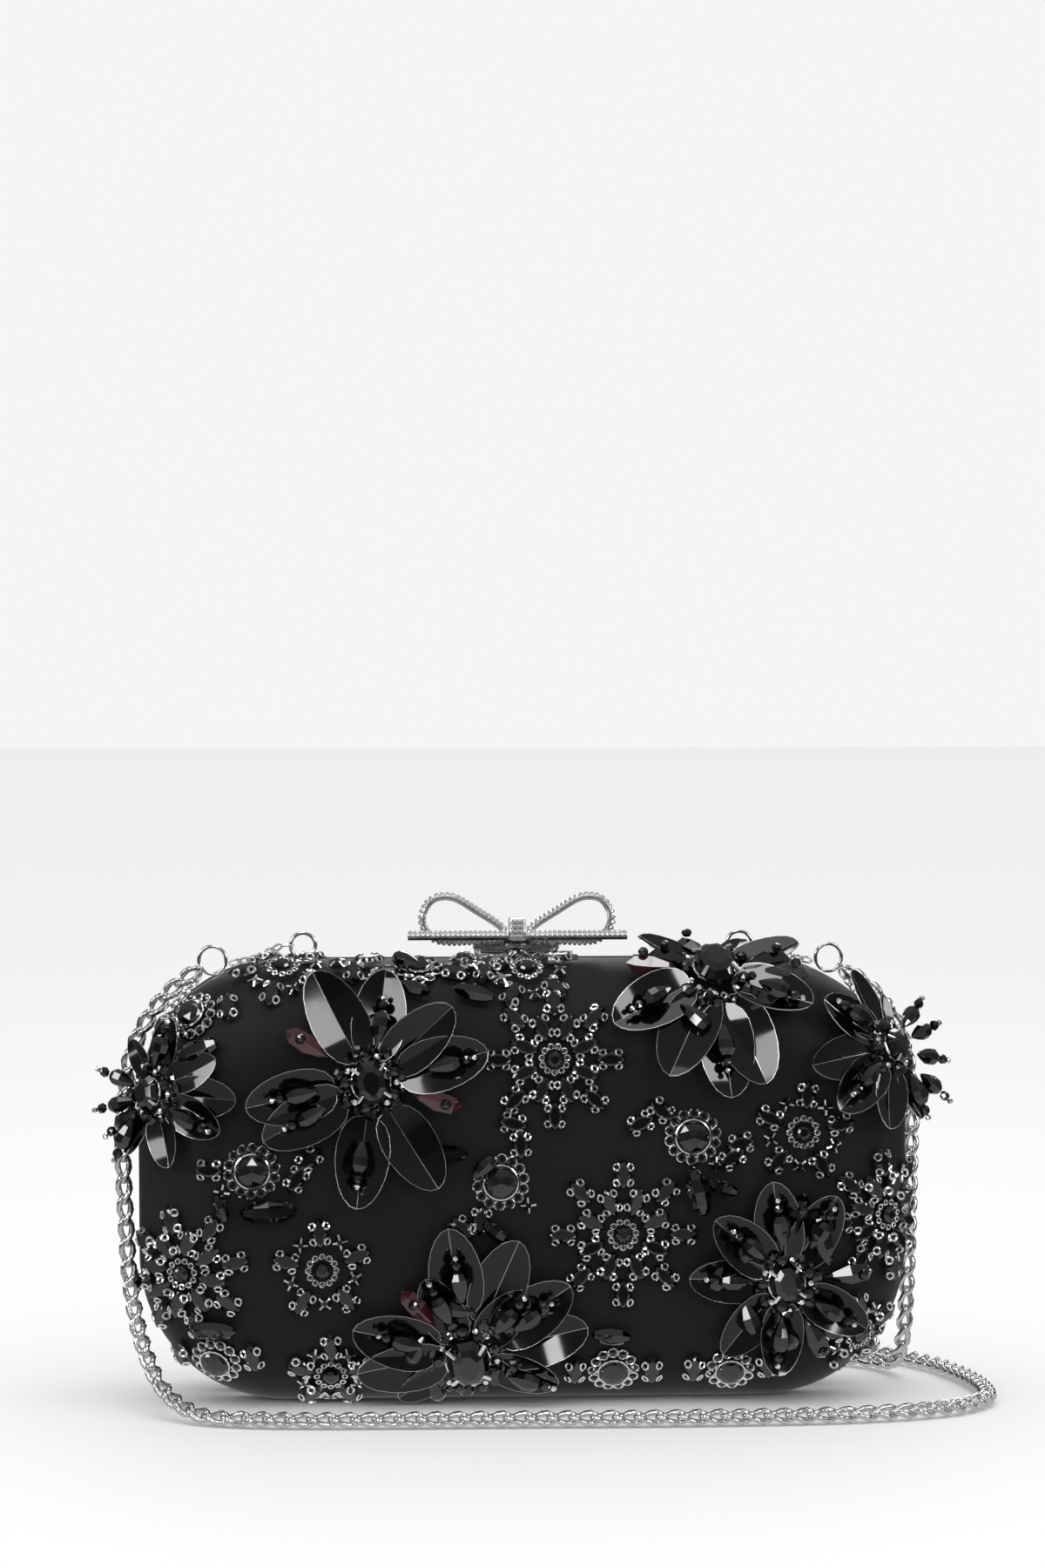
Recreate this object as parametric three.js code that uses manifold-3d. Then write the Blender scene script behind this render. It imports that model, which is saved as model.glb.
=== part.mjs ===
// Evening bag: a hard box clutch in black satin, sewn all over its front with crystal motifs.
// Two bowed shells are hinged along the base, a bow clasp closes the top, and a chain is the strap.
// Millimetres, +Z up, -Y is the embroidered front. The origin is on the flat base.
import * as THREE from 'three';
import { mergeVertices } from 'three/addons/utils/BufferGeometryUtils.js';
import Module from 'manifold-3d';

const wasm = await Module();
wasm.setup();

// Body: a rounded rectangle seen from the front, with bowed faces
const BODY_WIDTH = 200;
const BODY_HEIGHT = 114;
const CORNER_RADIUS = 38;
const RIM_DEPTH = 9;          // straight band on each half, from the parting plane
const BOW_DEPTH = 18;         // how far each face bows out past its band
const SHOULDER = 24;          // width of the rounded shoulder, seen from the front
const CROWN = 1;              // swell in the middle of the padded front face
const PARTING_Y = 5;          // plane where the halves meet
const FIT = 0.3;              // clearance between neighbouring pieces
const OVERCUT = 1;            // how far a cutting tool runs past the piece it cuts

// Layers of each half, from the outside in
const COVER_WALL = 1;
const SHELL_WALL = 1.6;
const LINING_WALL = 0.6;

// Metal frames round the mouth
const FRAME_DEPTH = 3.6;
const FRAME_WALL = 5.6;

// Base hinges
const HINGE_SPACING = 90;
const HINGE_LENGTH = 18;
const KNUCKLE_LENGTH = 6;
const KNUCKLE_RADIUS = 1.7;
const HINGE_PIN_RADIUS = 0.7;
const HINGE_WEB = 1.2;        // half height of the leaf behind its knuckles
const HINGE_TIE = 1;          // half height of the bridge from leaf to knuckle
const HINGE_HEIGHT = 2.3;     // pin axis above the base
const OPEN_ANGLE = 45;        // degrees the back half opens
const FOOT_CLEARANCE = 3;     // degrees the bevelled feet stay apart when open

// Clasp
const CLASP_X = -1.5;
const CLASP_HALF = 10.8;      // half length of the pin
const EAR_WALL = 1.2;
const PLATE_WALL = 0.8;
const PLATE_DEPTH = 5.6;
const PLATE_MARGIN = 5.2;     // plate beyond each ear, where the rivets are
const CLASP_PIN_RADIUS = 0.7;
const CLASP_PIN_PROUD = 0.4;
const BARREL_RADIUS = 1.9;
const SPRING_LENGTH = 6;
const SPRING_RADIUS = 1.4;
const LEVER_WALL = 0.9;
const CLAW_HALF = 7;
const CLAW_WALL = 0.9;
const CLAW_REACH = 1.9;       // claw past the edge of the front half
const STRIKE_DEPTH = 3.6;
const STRIKE_HALF = 9;
const RIVET_RADIUS = 0.7;
const RIVET_HEAD = 1.3;
const RIVET_HEAD_WALL = 0.7;

// Bow on the clasp
const BOW_REACH = 28.5;       // tail tip from the middle of the knot
const BOW_RISE = 12.8;        // loop top above the foot of the tails
const BOW_LIFT = 2.1;         // foot of the tails above the clasp pin
const LOOP_SHORT = 4.2;       // how far a loop ends short of its tail
const BOW_WALL = 2.2;
const RIBBON_WIDTH = 2.6;
const TAIL_HEIGHT = 2.3;
const TAIL_POINT = 1.5;
const KNOT_HALF = 2.2;
const KNOT_HEIGHT = 7.4;
const KNOT_DROP = 1.6;
const KNOT_CHAMFER = 1;

// Strap fittings and chain
const LUG_X = 57;
const LUG_RADIUS = 1.1;
const LUG_WIRE = 0.4;
const LUG_PLATE = 0.7;
const LUG_MARGIN = 0.4;
const LUG_NOTCH_HALF = 2.6;
const LUG_NOTCH_DEPTH = 1.7;
const RING_RADIUS = 3.3;
const RING_WIRE = 0.45;
const STRAP_RING_X = 80.5;
const STRAP_RING_RADIUS = 3.7;
const STRAP_RING_LIFT = 4.9;  // its middle above the corner's surface
const LINK_RADIUS = 1.45;
const LINK_WIRE = 0.35;
const FINE_CHAIN = 1.6;       // width of the fine chain between the rings
const FINE_CHAIN_SAG = 0.8;
const CHAIN_WIDTH = 4.4;
const CHAIN_STEPS = 74;

// Slip pocket on the back lining
const POCKET_SIDE_MARGIN = 48;
const POCKET_MARGIN = 32;
const POCKET_WALL = 0.7;

// Embroidery, drawn for a panel of this size and scaled with the panel
const PATTERN_WIDTH = 200;
const PATTERN_HEIGHT = 114;
const SEW_GAP = 0.8;          // motif backing above the satin

const MATERIALS = {
  satin: new THREE.MeshStandardMaterial({ color: 0x1d1a1c, roughness: 0.55, metalness: 0 }),
  board: new THREE.MeshStandardMaterial({ color: 0x8b8378, roughness: 0.85, metalness: 0 }),
  lining: new THREE.MeshStandardMaterial({ color: 0x2a2528, roughness: 0.7, metalness: 0 }),
  silver: new THREE.MeshStandardMaterial({ color: 0xcfd0d2, roughness: 0.18, metalness: 1 }),
  steel: new THREE.MeshStandardMaterial({ color: 0x9a9a9c, roughness: 0.3, metalness: 1 }),
  crystal: new THREE.MeshStandardMaterial({ color: 0x0c0b0d, roughness: 0.08, metalness: 0 }),
};

const bag = new THREE.Group();
const halfWidth = BODY_WIDTH / 2;
const halfHeight = BODY_HEIGHT / 2;
const partingGap = FIT / 2;
const layerStart = partingGap + FRAME_DEPTH + FIT;
const faceDepth = RIM_DEPTH + BOW_DEPTH;
const lugY = -partingGap - FRAME_DEPTH / 2;
const lugFloor = BODY_HEIGHT - LUG_NOTCH_DEPTH;
const lugMiddle = lugFloor + FIT + LUG_RADIUS + LUG_WIRE + LUG_MARGIN;
const frameRingZ = lugMiddle + RING_RADIUS;
const degrees = Math.PI / 180;

// ---- Solids ----

function bare(geometry) {
  const copy = geometry.clone();
  copy.deleteAttribute('normal');
  copy.deleteAttribute('uv');
  return mergeVertices(copy, 1e-4);
}

function signedVolume(geometry) {
  const p = geometry.attributes.position;
  const index = geometry.index;
  const a = new THREE.Vector3();
  const b = new THREE.Vector3();
  const c = new THREE.Vector3();
  let volume = 0;
  for (let i = 0; i < index.count; i += 3) {
    a.fromBufferAttribute(p, index.getX(i));
    b.fromBufferAttribute(p, index.getX(i + 1));
    c.fromBufferAttribute(p, index.getX(i + 2));
    volume += a.dot(b.cross(c)) / 6;
  }
  return volume;
}

function facingOut(geometry) {
  if (signedVolume(geometry) > 0) return geometry;
  const order = Array.from(geometry.index.array);
  for (let i = 0; i < order.length; i += 3) {
    [order[i + 1], order[i + 2]] = [order[i + 2], order[i + 1]];
  }
  geometry.setIndex(order);
  return geometry;
}

// A closed skin over rings of equal length. With poles, the first and last rings are closed by
// fans to them. Without, the last ring joins the first.
function loft(rings, poles) {
  const size = rings[0].length;
  const points = rings.flat();
  const faces = [];
  const bands = poles ? rings.length - 1 : rings.length;
  for (let r = 0; r < bands; r++) {
    const next = (r + 1) % rings.length;
    for (let i = 0; i < size; i++) {
      const j = (i + 1) % size;
      const corners = [r * size + i, r * size + j, next * size + j, next * size + i];
      faces.push(corners[0], corners[1], corners[2], corners[0], corners[2], corners[3]);
    }
  }
  if (poles) {
    const first = points.push(poles[0]) - 1;
    const last = points.push(poles[1]) - 1;
    const top = (rings.length - 1) * size;
    for (let i = 0; i < size; i++) {
      const j = (i + 1) % size;
      faces.push(first, j, i);
      faces.push(last, top + i, top + j);
    }
  }
  const geometry = new THREE.BufferGeometry().setFromPoints(points);
  geometry.setIndex(faces);
  return facingOut(geometry);
}

function manifoldOf(geometry) {
  const merged = bare(geometry);
  const vertProperties = new Float32Array(merged.attributes.position.array);
  const triVerts = new Uint32Array(merged.index.array);
  return new wasm.Manifold(new wasm.Mesh({ numProp: 3, vertProperties, triVerts }));
}

function geometryOf(manifold) {
  const mesh = manifold.getMesh();
  const geometry = new THREE.BufferGeometry();
  geometry.setAttribute('position', new THREE.BufferAttribute(mesh.vertProperties, 3));
  geometry.setIndex(Array.from(mesh.triVerts));
  return geometry;
}

function unite(...pieces) {
  return geometryOf(pieces.map(manifoldOf).reduce((sum, piece) => sum.add(piece)));
}

function cut(piece, ...tools) {
  const solids = tools.map(manifoldOf);
  return geometryOf(solids.reduce((rest, tool) => rest.subtract(tool), manifoldOf(piece)));
}

// A box from its lowest and highest corners, with y measured from the parting plane
function block(low, high) {
  const size = high.map((value, axis) => value - low[axis]);
  const geometry = new THREE.BoxGeometry(...size);
  geometry.translate(low[0] + size[0] / 2, PARTING_Y + low[1] + size[1] / 2, low[2] + size[2] / 2);
  return geometry;
}

// A round bar along X, with y measured from the parting plane
function barX(from, to, y, z, radius, sides = 14) {
  const geometry = new THREE.CylinderGeometry(radius, radius, to - from, sides);
  geometry.rotateZ(Math.PI / 2);
  geometry.translate((from + to) / 2, PARTING_Y + y, z);
  return geometry;
}

function barZ(x, y, from, to, radius, sides = 12) {
  const geometry = new THREE.CylinderGeometry(radius, radius, to - from, sides);
  geometry.rotateX(Math.PI / 2);
  geometry.translate(x, PARTING_Y + y, (from + to) / 2);
  return geometry;
}

// A ring of wire standing in the plane of the bag's face
function wireRing(x, y, z, radius, wire) {
  const geometry = new THREE.TorusGeometry(radius, wire, 6, 18);
  geometry.rotateX(Math.PI / 2);
  geometry.translate(x, PARTING_Y + y, z);
  return geometry;
}

function add(name, geometry, material) {
  const mesh = new THREE.Mesh(geometry, material.clone());
  mesh.name = name;
  bag.add(mesh);
}

// ---- Shape of the body ----

// Points round the rounded rectangle, drawn in by an inset
function outline(inset, depth, side) {
  const radius = CORNER_RADIUS - inset;
  const x = halfWidth - CORNER_RADIUS;
  const z = halfHeight - CORNER_RADIUS;
  const arcSteps = 6;
  const points = [];
  const y = PARTING_Y + side * depth;
  for (const [turn, signX, signZ] of [[0, 1, 1], [1, -1, 1], [2, -1, -1], [3, 1, -1]]) {
    for (let i = 0; i <= arcSteps; i++) {
      const angle = (turn + i / arcSteps) * Math.PI / 2;
      const px = signX * x + radius * Math.cos(angle);
      points.push(new THREE.Vector3(px, y, halfHeight + signZ * z + radius * Math.sin(angle)));
    }
    const level = turn % 2 === 0;
    const from = points.at(-1);
    const run = new THREE.Vector3(level ? -2 * signX * x : 0, 0, level ? 0 : -2 * signZ * z);
    for (const share of level ? [1 / 3, 2 / 3] : [1 / 2]) {
      points.push(from.clone().addScaledVector(run, share));
    }
  }
  return points;
}

function crownAt(inset, crown) {
  return faceDepth + crown * Math.min((inset - SHOULDER) / (halfHeight - SHOULDER), 1);
}

// One surface of a half, an offset in from its outside: rings from the mouth to the face
function bowedSurface(offset, side, crown) {
  const rings = [outline(offset, layerStart, side), outline(offset, RIM_DEPTH, side)];
  const steps = 4;
  for (let i = 1; i <= steps; i++) {
    const angle = i / steps * Math.PI / 2;
    const inset = offset + SHOULDER * (1 - Math.cos(angle));
    rings.push(outline(inset, RIM_DEPTH + (BOW_DEPTH - offset) * Math.sin(angle), side));
  }
  const capInset = SHOULDER + CORNER_RADIUS / 5;
  rings.push(outline(offset + capInset, crownAt(capInset, crown) - offset, side));
  const pole = new THREE.Vector3(0, PARTING_Y + side * (faceDepth + crown - offset), halfHeight);
  return { rings, pole };
}

function bowedLayer(offset, wall, side, crown) {
  const outer = bowedSurface(offset, side, crown);
  const inner = bowedSurface(offset + wall, side, crown);
  return loft([...outer.rings.reverse(), ...inner.rings], [outer.pole, inner.pole]);
}

// Inset of a point from the outline, and the outline's outward direction there
function edgeAt(x, z) {
  const qx = Math.abs(x) - (halfWidth - CORNER_RADIUS);
  const qz = Math.abs(z - halfHeight) - (halfHeight - CORNER_RADIUS);
  const reach = Math.hypot(Math.max(qx, 0), Math.max(qz, 0));
  const inset = CORNER_RADIUS - reach - Math.min(Math.max(qx, qz), 0);
  const signX = Math.sign(x) || 1;
  const signZ = Math.sign(z - halfHeight) || 1;
  if (qx > 0 && qz > 0) return { inset, nx: signX * qx / reach, nz: signZ * qz / reach };
  return qx > qz ? { inset, nx: signX, nz: 0 } : { inset, nx: 0, nz: signZ };
}

// Drops a point onto the front's outer surface
function seat(point) {
  const { inset, nx, nz } = edgeAt(point.x, point.z);
  const depth = PARTING_Y - point.y;
  if (inset >= SHOULDER) {
    const spot = new THREE.Vector3(point.x, PARTING_Y - crownAt(inset, CROWN), point.z);
    return { spot, normal: new THREE.Vector3(0, -1, 0) };
  }
  const angle = Math.max(Math.atan2((depth - RIM_DEPTH) / BOW_DEPTH, (SHOULDER - inset) / SHOULDER), 0);
  const target = SHOULDER * (1 - Math.cos(angle));
  const seated = angle > 0 ? RIM_DEPTH + BOW_DEPTH * Math.sin(angle) : depth;
  const shift = inset - target;
  const spot = new THREE.Vector3(point.x + nx * shift, PARTING_Y - seated, point.z + nz * shift);
  const out = Math.cos(angle) / SHOULDER;
  const normal = new THREE.Vector3(nx * out, -Math.sin(angle) / BOW_DEPTH, nz * out).normalize();
  return { spot, normal };
}

// The front surface behind a point of the front view
function seatFromFront(x, z) {
  const { inset } = edgeAt(x, z);
  const share = Math.min(1 - inset / SHOULDER, 1);
  const depth = inset >= SHOULDER ? faceDepth : RIM_DEPTH + BOW_DEPTH * Math.sqrt(1 - share * share);
  return seat(new THREE.Vector3(x, PARTING_Y - depth, z));
}

// ---- Shells, covers, linings and frames ----

function makeHalf(name, side, crown) {
  const shellOffset = COVER_WALL + FIT;
  const liningOffset = shellOffset + SHELL_WALL + FIT;
  add(`${name}_cover`, bowedLayer(0, COVER_WALL, side, crown), MATERIALS.satin);
  add(`${name}_shell`, bowedLayer(shellOffset, SHELL_WALL, side, crown), MATERIALS.board);
  add(`${name}_lining`, bowedLayer(liningOffset, LINING_WALL, side, crown), MATERIALS.lining);
  add(`${name}_frame`, mouthFrame(side), MATERIALS.silver);
}

// The frame's foot is bevelled back so that the halves can fold apart about the pin
function footRelief() {
  const lean = Math.tan((OPEN_ANGLE / 2 + FOOT_CLEARANCE) * degrees);
  const below = HINGE_HEIGHT + OVERCUT;
  const shape = new THREE.Shape();
  shape.moveTo(0, HINGE_HEIGHT);
  shape.lineTo(-below * lean, HINGE_HEIGHT - below);
  shape.lineTo(below * lean, HINGE_HEIGHT - below);
  const wedge = new THREE.ExtrudeGeometry(shape, { depth: BODY_WIDTH, bevelEnabled: false });
  const axes = [new THREE.Vector3(0, 1, 0), new THREE.Vector3(0, 0, 1), new THREE.Vector3(1, 0, 0)];
  wedge.applyMatrix4(new THREE.Matrix4().makeBasis(...axes));
  wedge.translate(-halfWidth, PARTING_Y, 0);
  return facingOut(bare(wedge));
}

function mouthFrame(side) {
  const near = partingGap;
  const far = partingGap + FRAME_DEPTH;
  const rings = [
    outline(0, near, side),
    outline(FRAME_WALL, near, side),
    outline(FRAME_WALL, far, side),
    outline(0, far, side),
  ];
  const tools = [footRelief()];
  for (const hinge of [-1, 1]) {
    const x = hinge * HINGE_SPACING / 2;
    const half = HINGE_LENGTH / 2 + FIT;
    const top = HINGE_HEIGHT + KNUCKLE_RADIUS + FIT;
    tools.push(block([x - half, -far - OVERCUT, -OVERCUT], [x + half, far + OVERCUT, top]));
  }
  if (side < 0) {
    for (const lug of [-1, 1]) {
      const low = [lug * LUG_X - LUG_NOTCH_HALF, -far - OVERCUT, lugFloor];
      const high = [lug * LUG_X + LUG_NOTCH_HALF, 0, BODY_HEIGHT + OVERCUT];
      tools.push(block(low, high));
    }
  }
  return cut(loft(rings), ...tools);
}

function slipPocket() {
  const liningDepth = faceDepth - COVER_WALL - SHELL_WALL - LINING_WALL - 2 * FIT;
  const far = liningDepth - FIT;
  const half = halfWidth - POCKET_SIDE_MARGIN;
  return block([-half, far - POCKET_WALL, POCKET_MARGIN], [half, far, BODY_HEIGHT - POCKET_MARGIN]);
}

// ---- Base hinges ----

function hingeLeaf(x, side) {
  const end = HINGE_LENGTH / 2;
  const middle = KNUCKLE_LENGTH / 2;
  const webNear = KNUCKLE_RADIUS + FIT;
  const webFar = partingGap + FRAME_DEPTH - FIT;
  const y = (near, far) => (side < 0 ? [-far, -near] : [near, far]);
  const [webLow, webHigh] = y(webNear, webFar);
  const [tieLow, tieHigh] = y(HINGE_TIE, webNear + HINGE_WEB / 2);
  const spans = side < 0 ? [[-end, -middle - FIT], [middle + FIT, end]] : [[-middle, middle]];
  const foot = HINGE_HEIGHT - HINGE_WEB;
  const solids = [block([x - end, webLow, foot], [x + end, webHigh, HINGE_HEIGHT + HINGE_WEB])];
  for (const [from, to] of spans) {
    const tie = [[x + from, tieLow, HINGE_HEIGHT - HINGE_TIE], [x + to, tieHigh, HINGE_HEIGHT + HINGE_TIE]];
    solids.push(barX(x + from, x + to, 0, HINGE_HEIGHT, KNUCKLE_RADIUS));
    solids.push(block(...tie));
  }
  const run = end + OVERCUT;
  const hole = barX(x - run, x + run, 0, HINGE_HEIGHT, HINGE_PIN_RADIUS + FIT);
  return cut(unite(...solids), hole);
}

function makeHinges() {
  for (const [name, sign] of [['left', -1], ['right', 1]]) {
    const x = sign * HINGE_SPACING / 2;
    const end = HINGE_LENGTH / 2;
    add(`hinge_leaf_front_${name}`, hingeLeaf(x, -1), MATERIALS.steel);
    add(`hinge_leaf_back_${name}`, hingeLeaf(x, 1), MATERIALS.steel);
    add(`hinge_pin_${name}`, barX(x - end, x + end, 0, HINGE_HEIGHT, HINGE_PIN_RADIUS), MATERIALS.steel);
  }
}

// ---- Clasp ----

const plateTop = BODY_HEIGHT + FIT + PLATE_WALL;
const claspPinY = -partingGap - BARREL_RADIUS;
const claspPinZ = plateTop + FIT + BARREL_RADIUS;
const claspHole = CLASP_PIN_RADIUS + FIT;
const rivetOffset = CLASP_HALF + PLATE_MARGIN / 2;

function claspBase() {
  const half = CLASP_HALF + PLATE_MARGIN;
  const low = BODY_HEIGHT + FIT;
  const back = -partingGap;
  const plate = block([CLASP_X - half, back - PLATE_DEPTH, low], [CLASP_X + half, back, plateTop]);
  const ears = [-1, 1].map((sign) => {
    const outer = CLASP_X + sign * CLASP_HALF;
    const inner = outer - sign * EAR_WALL;
    const [from, to] = [Math.min(outer, inner), Math.max(outer, inner)];
    return block([from, claspPinY - BARREL_RADIUS, low], [to, back, claspPinZ + BARREL_RADIUS]);
  });
  const holes = [-1, 1].map((sign) => {
    const x = CLASP_X + sign * rivetOffset;
    return barZ(x, back - PLATE_DEPTH / 2, low - OVERCUT, plateTop + OVERCUT, RIVET_RADIUS + FIT);
  });
  const pinHole = barX(CLASP_X - half, CLASP_X + half, claspPinY, claspPinZ, claspHole);
  return cut(unite(plate, ...ears), pinHole, ...holes);
}

function claspRivet(sign) {
  const x = CLASP_X + sign * rivetOffset;
  const y = -partingGap - PLATE_DEPTH / 2;
  const headLow = plateTop + FIT;
  const shank = barZ(x, y, BODY_HEIGHT + FIT, headLow + RIVET_HEAD_WALL / 2, RIVET_RADIUS);
  const head = barZ(x, y, headLow, headLow + RIVET_HEAD_WALL, RIVET_HEAD);
  return unite(shank, head);
}

function claspSpring() {
  const half = SPRING_LENGTH / 2;
  const run = half + OVERCUT;
  const coil = barX(CLASP_X - half, CLASP_X + half, claspPinY, claspPinZ, SPRING_RADIUS);
  const bore = barX(CLASP_X - run, CLASP_X + run, claspPinY, claspPinZ, claspHole);
  return cut(coil, bore);
}

// Two barrels on the pin, a bridge over them, and a claw that hangs past the parting line
function claspLever() {
  const outer = CLASP_HALF - EAR_WALL - FIT;
  const inner = SPRING_LENGTH / 2 + FIT;
  const bridgeLow = claspPinZ + SPRING_RADIUS + FIT;
  const bridgeHigh = bridgeLow + LEVER_WALL;
  const front = claspPinY - BARREL_RADIUS;
  const clawFar = partingGap + CLAW_REACH;
  const over = claspPinY - LEVER_WALL / 2;
  const solids = [
    barX(CLASP_X - outer, CLASP_X - inner, claspPinY, claspPinZ, BARREL_RADIUS),
    barX(CLASP_X + inner, CLASP_X + outer, claspPinY, claspPinZ, BARREL_RADIUS),
    block([CLASP_X - outer, front, bridgeLow], [CLASP_X + outer, claspPinY, bridgeHigh]),
    block([CLASP_X - CLAW_HALF, over, bridgeLow], [CLASP_X + CLAW_HALF, clawFar, bridgeHigh]),
    block(
      [CLASP_X - CLAW_HALF, clawFar - CLAW_WALL, plateTop + FIT],
      [CLASP_X + CLAW_HALF, clawFar, bridgeHigh],
    ),
  ];
  const run = outer + OVERCUT;
  const bore = barX(CLASP_X - run, CLASP_X + run, claspPinY, claspPinZ, claspHole);
  return cut(unite(...solids), bore);
}

function strikePlate() {
  const low = BODY_HEIGHT + FIT;
  const near = partingGap;
  return block(
    [CLASP_X - STRIKE_HALF, near, low],
    [CLASP_X + STRIKE_HALF, near + STRIKE_DEPTH, low + PLATE_WALL],
  );
}

const bowBack = claspPinY - BARREL_RADIUS - FIT;
const bowLoopFront = bowBack - RIBBON_WIDTH;
const bowTailBack = bowLoopFront - FIT;
const bowTailFront = bowTailBack - TAIL_HEIGHT;
const bowBase = claspPinZ + BOW_LIFT;

// One loop of ribbon: a band swept round a leaning drop, with its point at the knot. The drop is
// drawn as shares of the loop's reach and rise.
const LOOP_DROP = [
  [0, 0.17],
  [0.36, 0.58],
  [0.66, 0.83],
  [0.89, 0.77],
  [1, 0.4],
  [0.86, 0.06],
  [0.4, 0.01],
  [0.02, 0.07],
];

function bowLoop(sign) {
  const start = KNOT_HALF + FIT + BOW_WALL / 2;
  const reach = BOW_REACH - LOOP_SHORT - start;
  const mid = (bowBack + bowLoopFront) / 2 + PARTING_Y;
  const corners = LOOP_DROP.map(([across, up]) => {
    const x = CLASP_X + sign * (start + across * reach);
    return new THREE.Vector3(x, mid, bowBase + up * BOW_RISE);
  });
  const path = new THREE.CatmullRomCurve3(corners, true);
  const steps = 24;
  const rings = [];
  for (let i = 0; i < steps; i++) {
    const middle = path.getPointAt(i / steps);
    const along = path.getTangentAt(i / steps);
    const out = new THREE.Vector3(-along.z, 0, along.x).multiplyScalar(BOW_WALL / 2);
    const wide = new THREE.Vector3(0, RIBBON_WIDTH / 2, 0);
    rings.push([
      middle.clone().add(out).add(wide),
      middle.clone().add(out).sub(wide),
      middle.clone().sub(out).sub(wide),
      middle.clone().sub(out).add(wide),
    ]);
  }
  return loft(rings);
}

function bowTail(sign) {
  const near = KNOT_HALF + FIT;
  const shoulder = BOW_REACH - TAIL_POINT;
  const points = [
    [near, 0],
    [shoulder, 0],
    [BOW_REACH, TAIL_HEIGHT / 2],
    [shoulder, TAIL_HEIGHT],
    [near, TAIL_HEIGHT],
  ];
  const shape = new THREE.Shape(points.map(([x, z]) => new THREE.Vector2(CLASP_X + sign * x, bowBase + z)));
  const bar = new THREE.ExtrudeGeometry(shape, { depth: TAIL_HEIGHT, bevelEnabled: false });
  bar.rotateX(Math.PI / 2);
  bar.translate(0, PARTING_Y + bowTailBack, 0);
  return facingOut(bare(bar));
}

function bowKnot() {
  const low = bowBase - KNOT_DROP;
  const narrow = KNOT_HALF - KNOT_CHAMFER;
  const high = KNOT_HEIGHT - KNOT_CHAMFER;
  const corners = [
    [-narrow, 0],
    [narrow, 0],
    [KNOT_HALF, KNOT_CHAMFER],
    [KNOT_HALF, high],
    [narrow, KNOT_HEIGHT],
    [-narrow, KNOT_HEIGHT],
    [-KNOT_HALF, high],
    [-KNOT_HALF, KNOT_CHAMFER],
  ];
  const shape = new THREE.Shape(corners.map(([x, z]) => new THREE.Vector2(CLASP_X + x, low + z)));
  const depth = bowBack - bowTailFront;
  const knot = new THREE.ExtrudeGeometry(shape, { depth, bevelEnabled: false });
  knot.rotateX(Math.PI / 2);
  knot.translate(0, PARTING_Y + bowBack, 0);
  return facingOut(bare(knot));
}

function makeClasp() {
  add('clasp_base', claspBase(), MATERIALS.silver);
  const half = CLASP_HALF + CLASP_PIN_PROUD;
  const pin = barX(CLASP_X - half, CLASP_X + half, claspPinY, claspPinZ, CLASP_PIN_RADIUS);
  add('clasp_pin', pin, MATERIALS.steel);
  add('clasp_spring', claspSpring(), MATERIALS.steel);
  add('clasp_lever', claspLever(), MATERIALS.silver);
  add('strike_plate', strikePlate(), MATERIALS.silver);
  for (const [name, sign] of [['left', -1], ['right', 1]]) {
    add(`clasp_rivet_${name}`, claspRivet(sign), MATERIALS.steel);
    add(`bow_loop_${name}`, bowLoop(sign), MATERIALS.silver);
    add(`bow_tail_${name}`, bowTail(sign), MATERIALS.silver);
  }
  add('bow_knot', bowKnot(), MATERIALS.silver);
}

// ---- Strap fittings ----

// The lug stands in a notch in the frame's top
function ringLug(sign) {
  const x = sign * LUG_X;
  const eye = new THREE.TorusGeometry(LUG_RADIUS, LUG_WIRE, 6, 12);
  eye.rotateY(Math.PI / 2);
  eye.translate(x, PARTING_Y + lugY, lugMiddle);
  const foot = LUG_NOTCH_HALF - FIT - LUG_MARGIN;
  const width = FRAME_DEPTH / 2 - LUG_MARGIN;
  const low = lugFloor + FIT;
  const plate = block([x - foot, lugY - width, low], [x + foot, lugY + width, low + LUG_PLATE]);
  return unite(plate, eye);
}

function cornerTop(x) {
  const run = Math.max(Math.abs(x) - (halfWidth - CORNER_RADIUS), 0);
  return BODY_HEIGHT - CORNER_RADIUS + Math.sqrt(CORNER_RADIUS ** 2 - run ** 2);
}

// Outer ring, fine chain along the shoulder, and the link that hooks the frame ring
function strapEnd(sign) {
  const ringZ = cornerTop(STRAP_RING_X) + STRAP_RING_LIFT;
  const ring = wireRing(sign * STRAP_RING_X, lugY, ringZ, STRAP_RING_RADIUS, RING_WIRE);
  const linkX = LUG_X + RING_RADIUS;
  const link = new THREE.TorusGeometry(LINK_RADIUS, LINK_WIRE, 6, 12);
  link.translate(sign * linkX, PARTING_Y + lugY, frameRingZ);
  const from = new THREE.Vector3(sign * (linkX + LINK_RADIUS), PARTING_Y + lugY, frameRingZ);
  const to = new THREE.Vector3(sign * (STRAP_RING_X - STRAP_RING_RADIUS), PARTING_Y + lugY, ringZ);
  const sag = from.clone().lerp(to, 1 / 2);
  sag.z -= FINE_CHAIN_SAG;
  const path = new THREE.CatmullRomCurve3([from, sag, to]);
  const section = new THREE.Shape();
  section.absarc(0, 0, FINE_CHAIN / 2, 0, 2 * Math.PI);
  const sweep = { steps: 4, extrudePath: path, curveSegments: 6, bevelEnabled: false };
  const run = new THREE.ExtrudeGeometry(section, sweep);
  return unite(ring, link, facingOut(bare(run)));
}

function makeStrapFittings() {
  for (const [name, sign] of [['left', -1], ['right', 1]]) {
    add(`ring_lug_${name}`, ringLug(sign), MATERIALS.silver);
    const frameRing = wireRing(sign * LUG_X, lugY, frameRingZ, RING_RADIUS, RING_WIRE);
    add(`frame_ring_${name}`, frameRing, MATERIALS.silver);
    add(`strap_end_${name}`, strapEnd(sign), MATERIALS.silver);
  }
}

// ---- Chain strap ----

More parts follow.
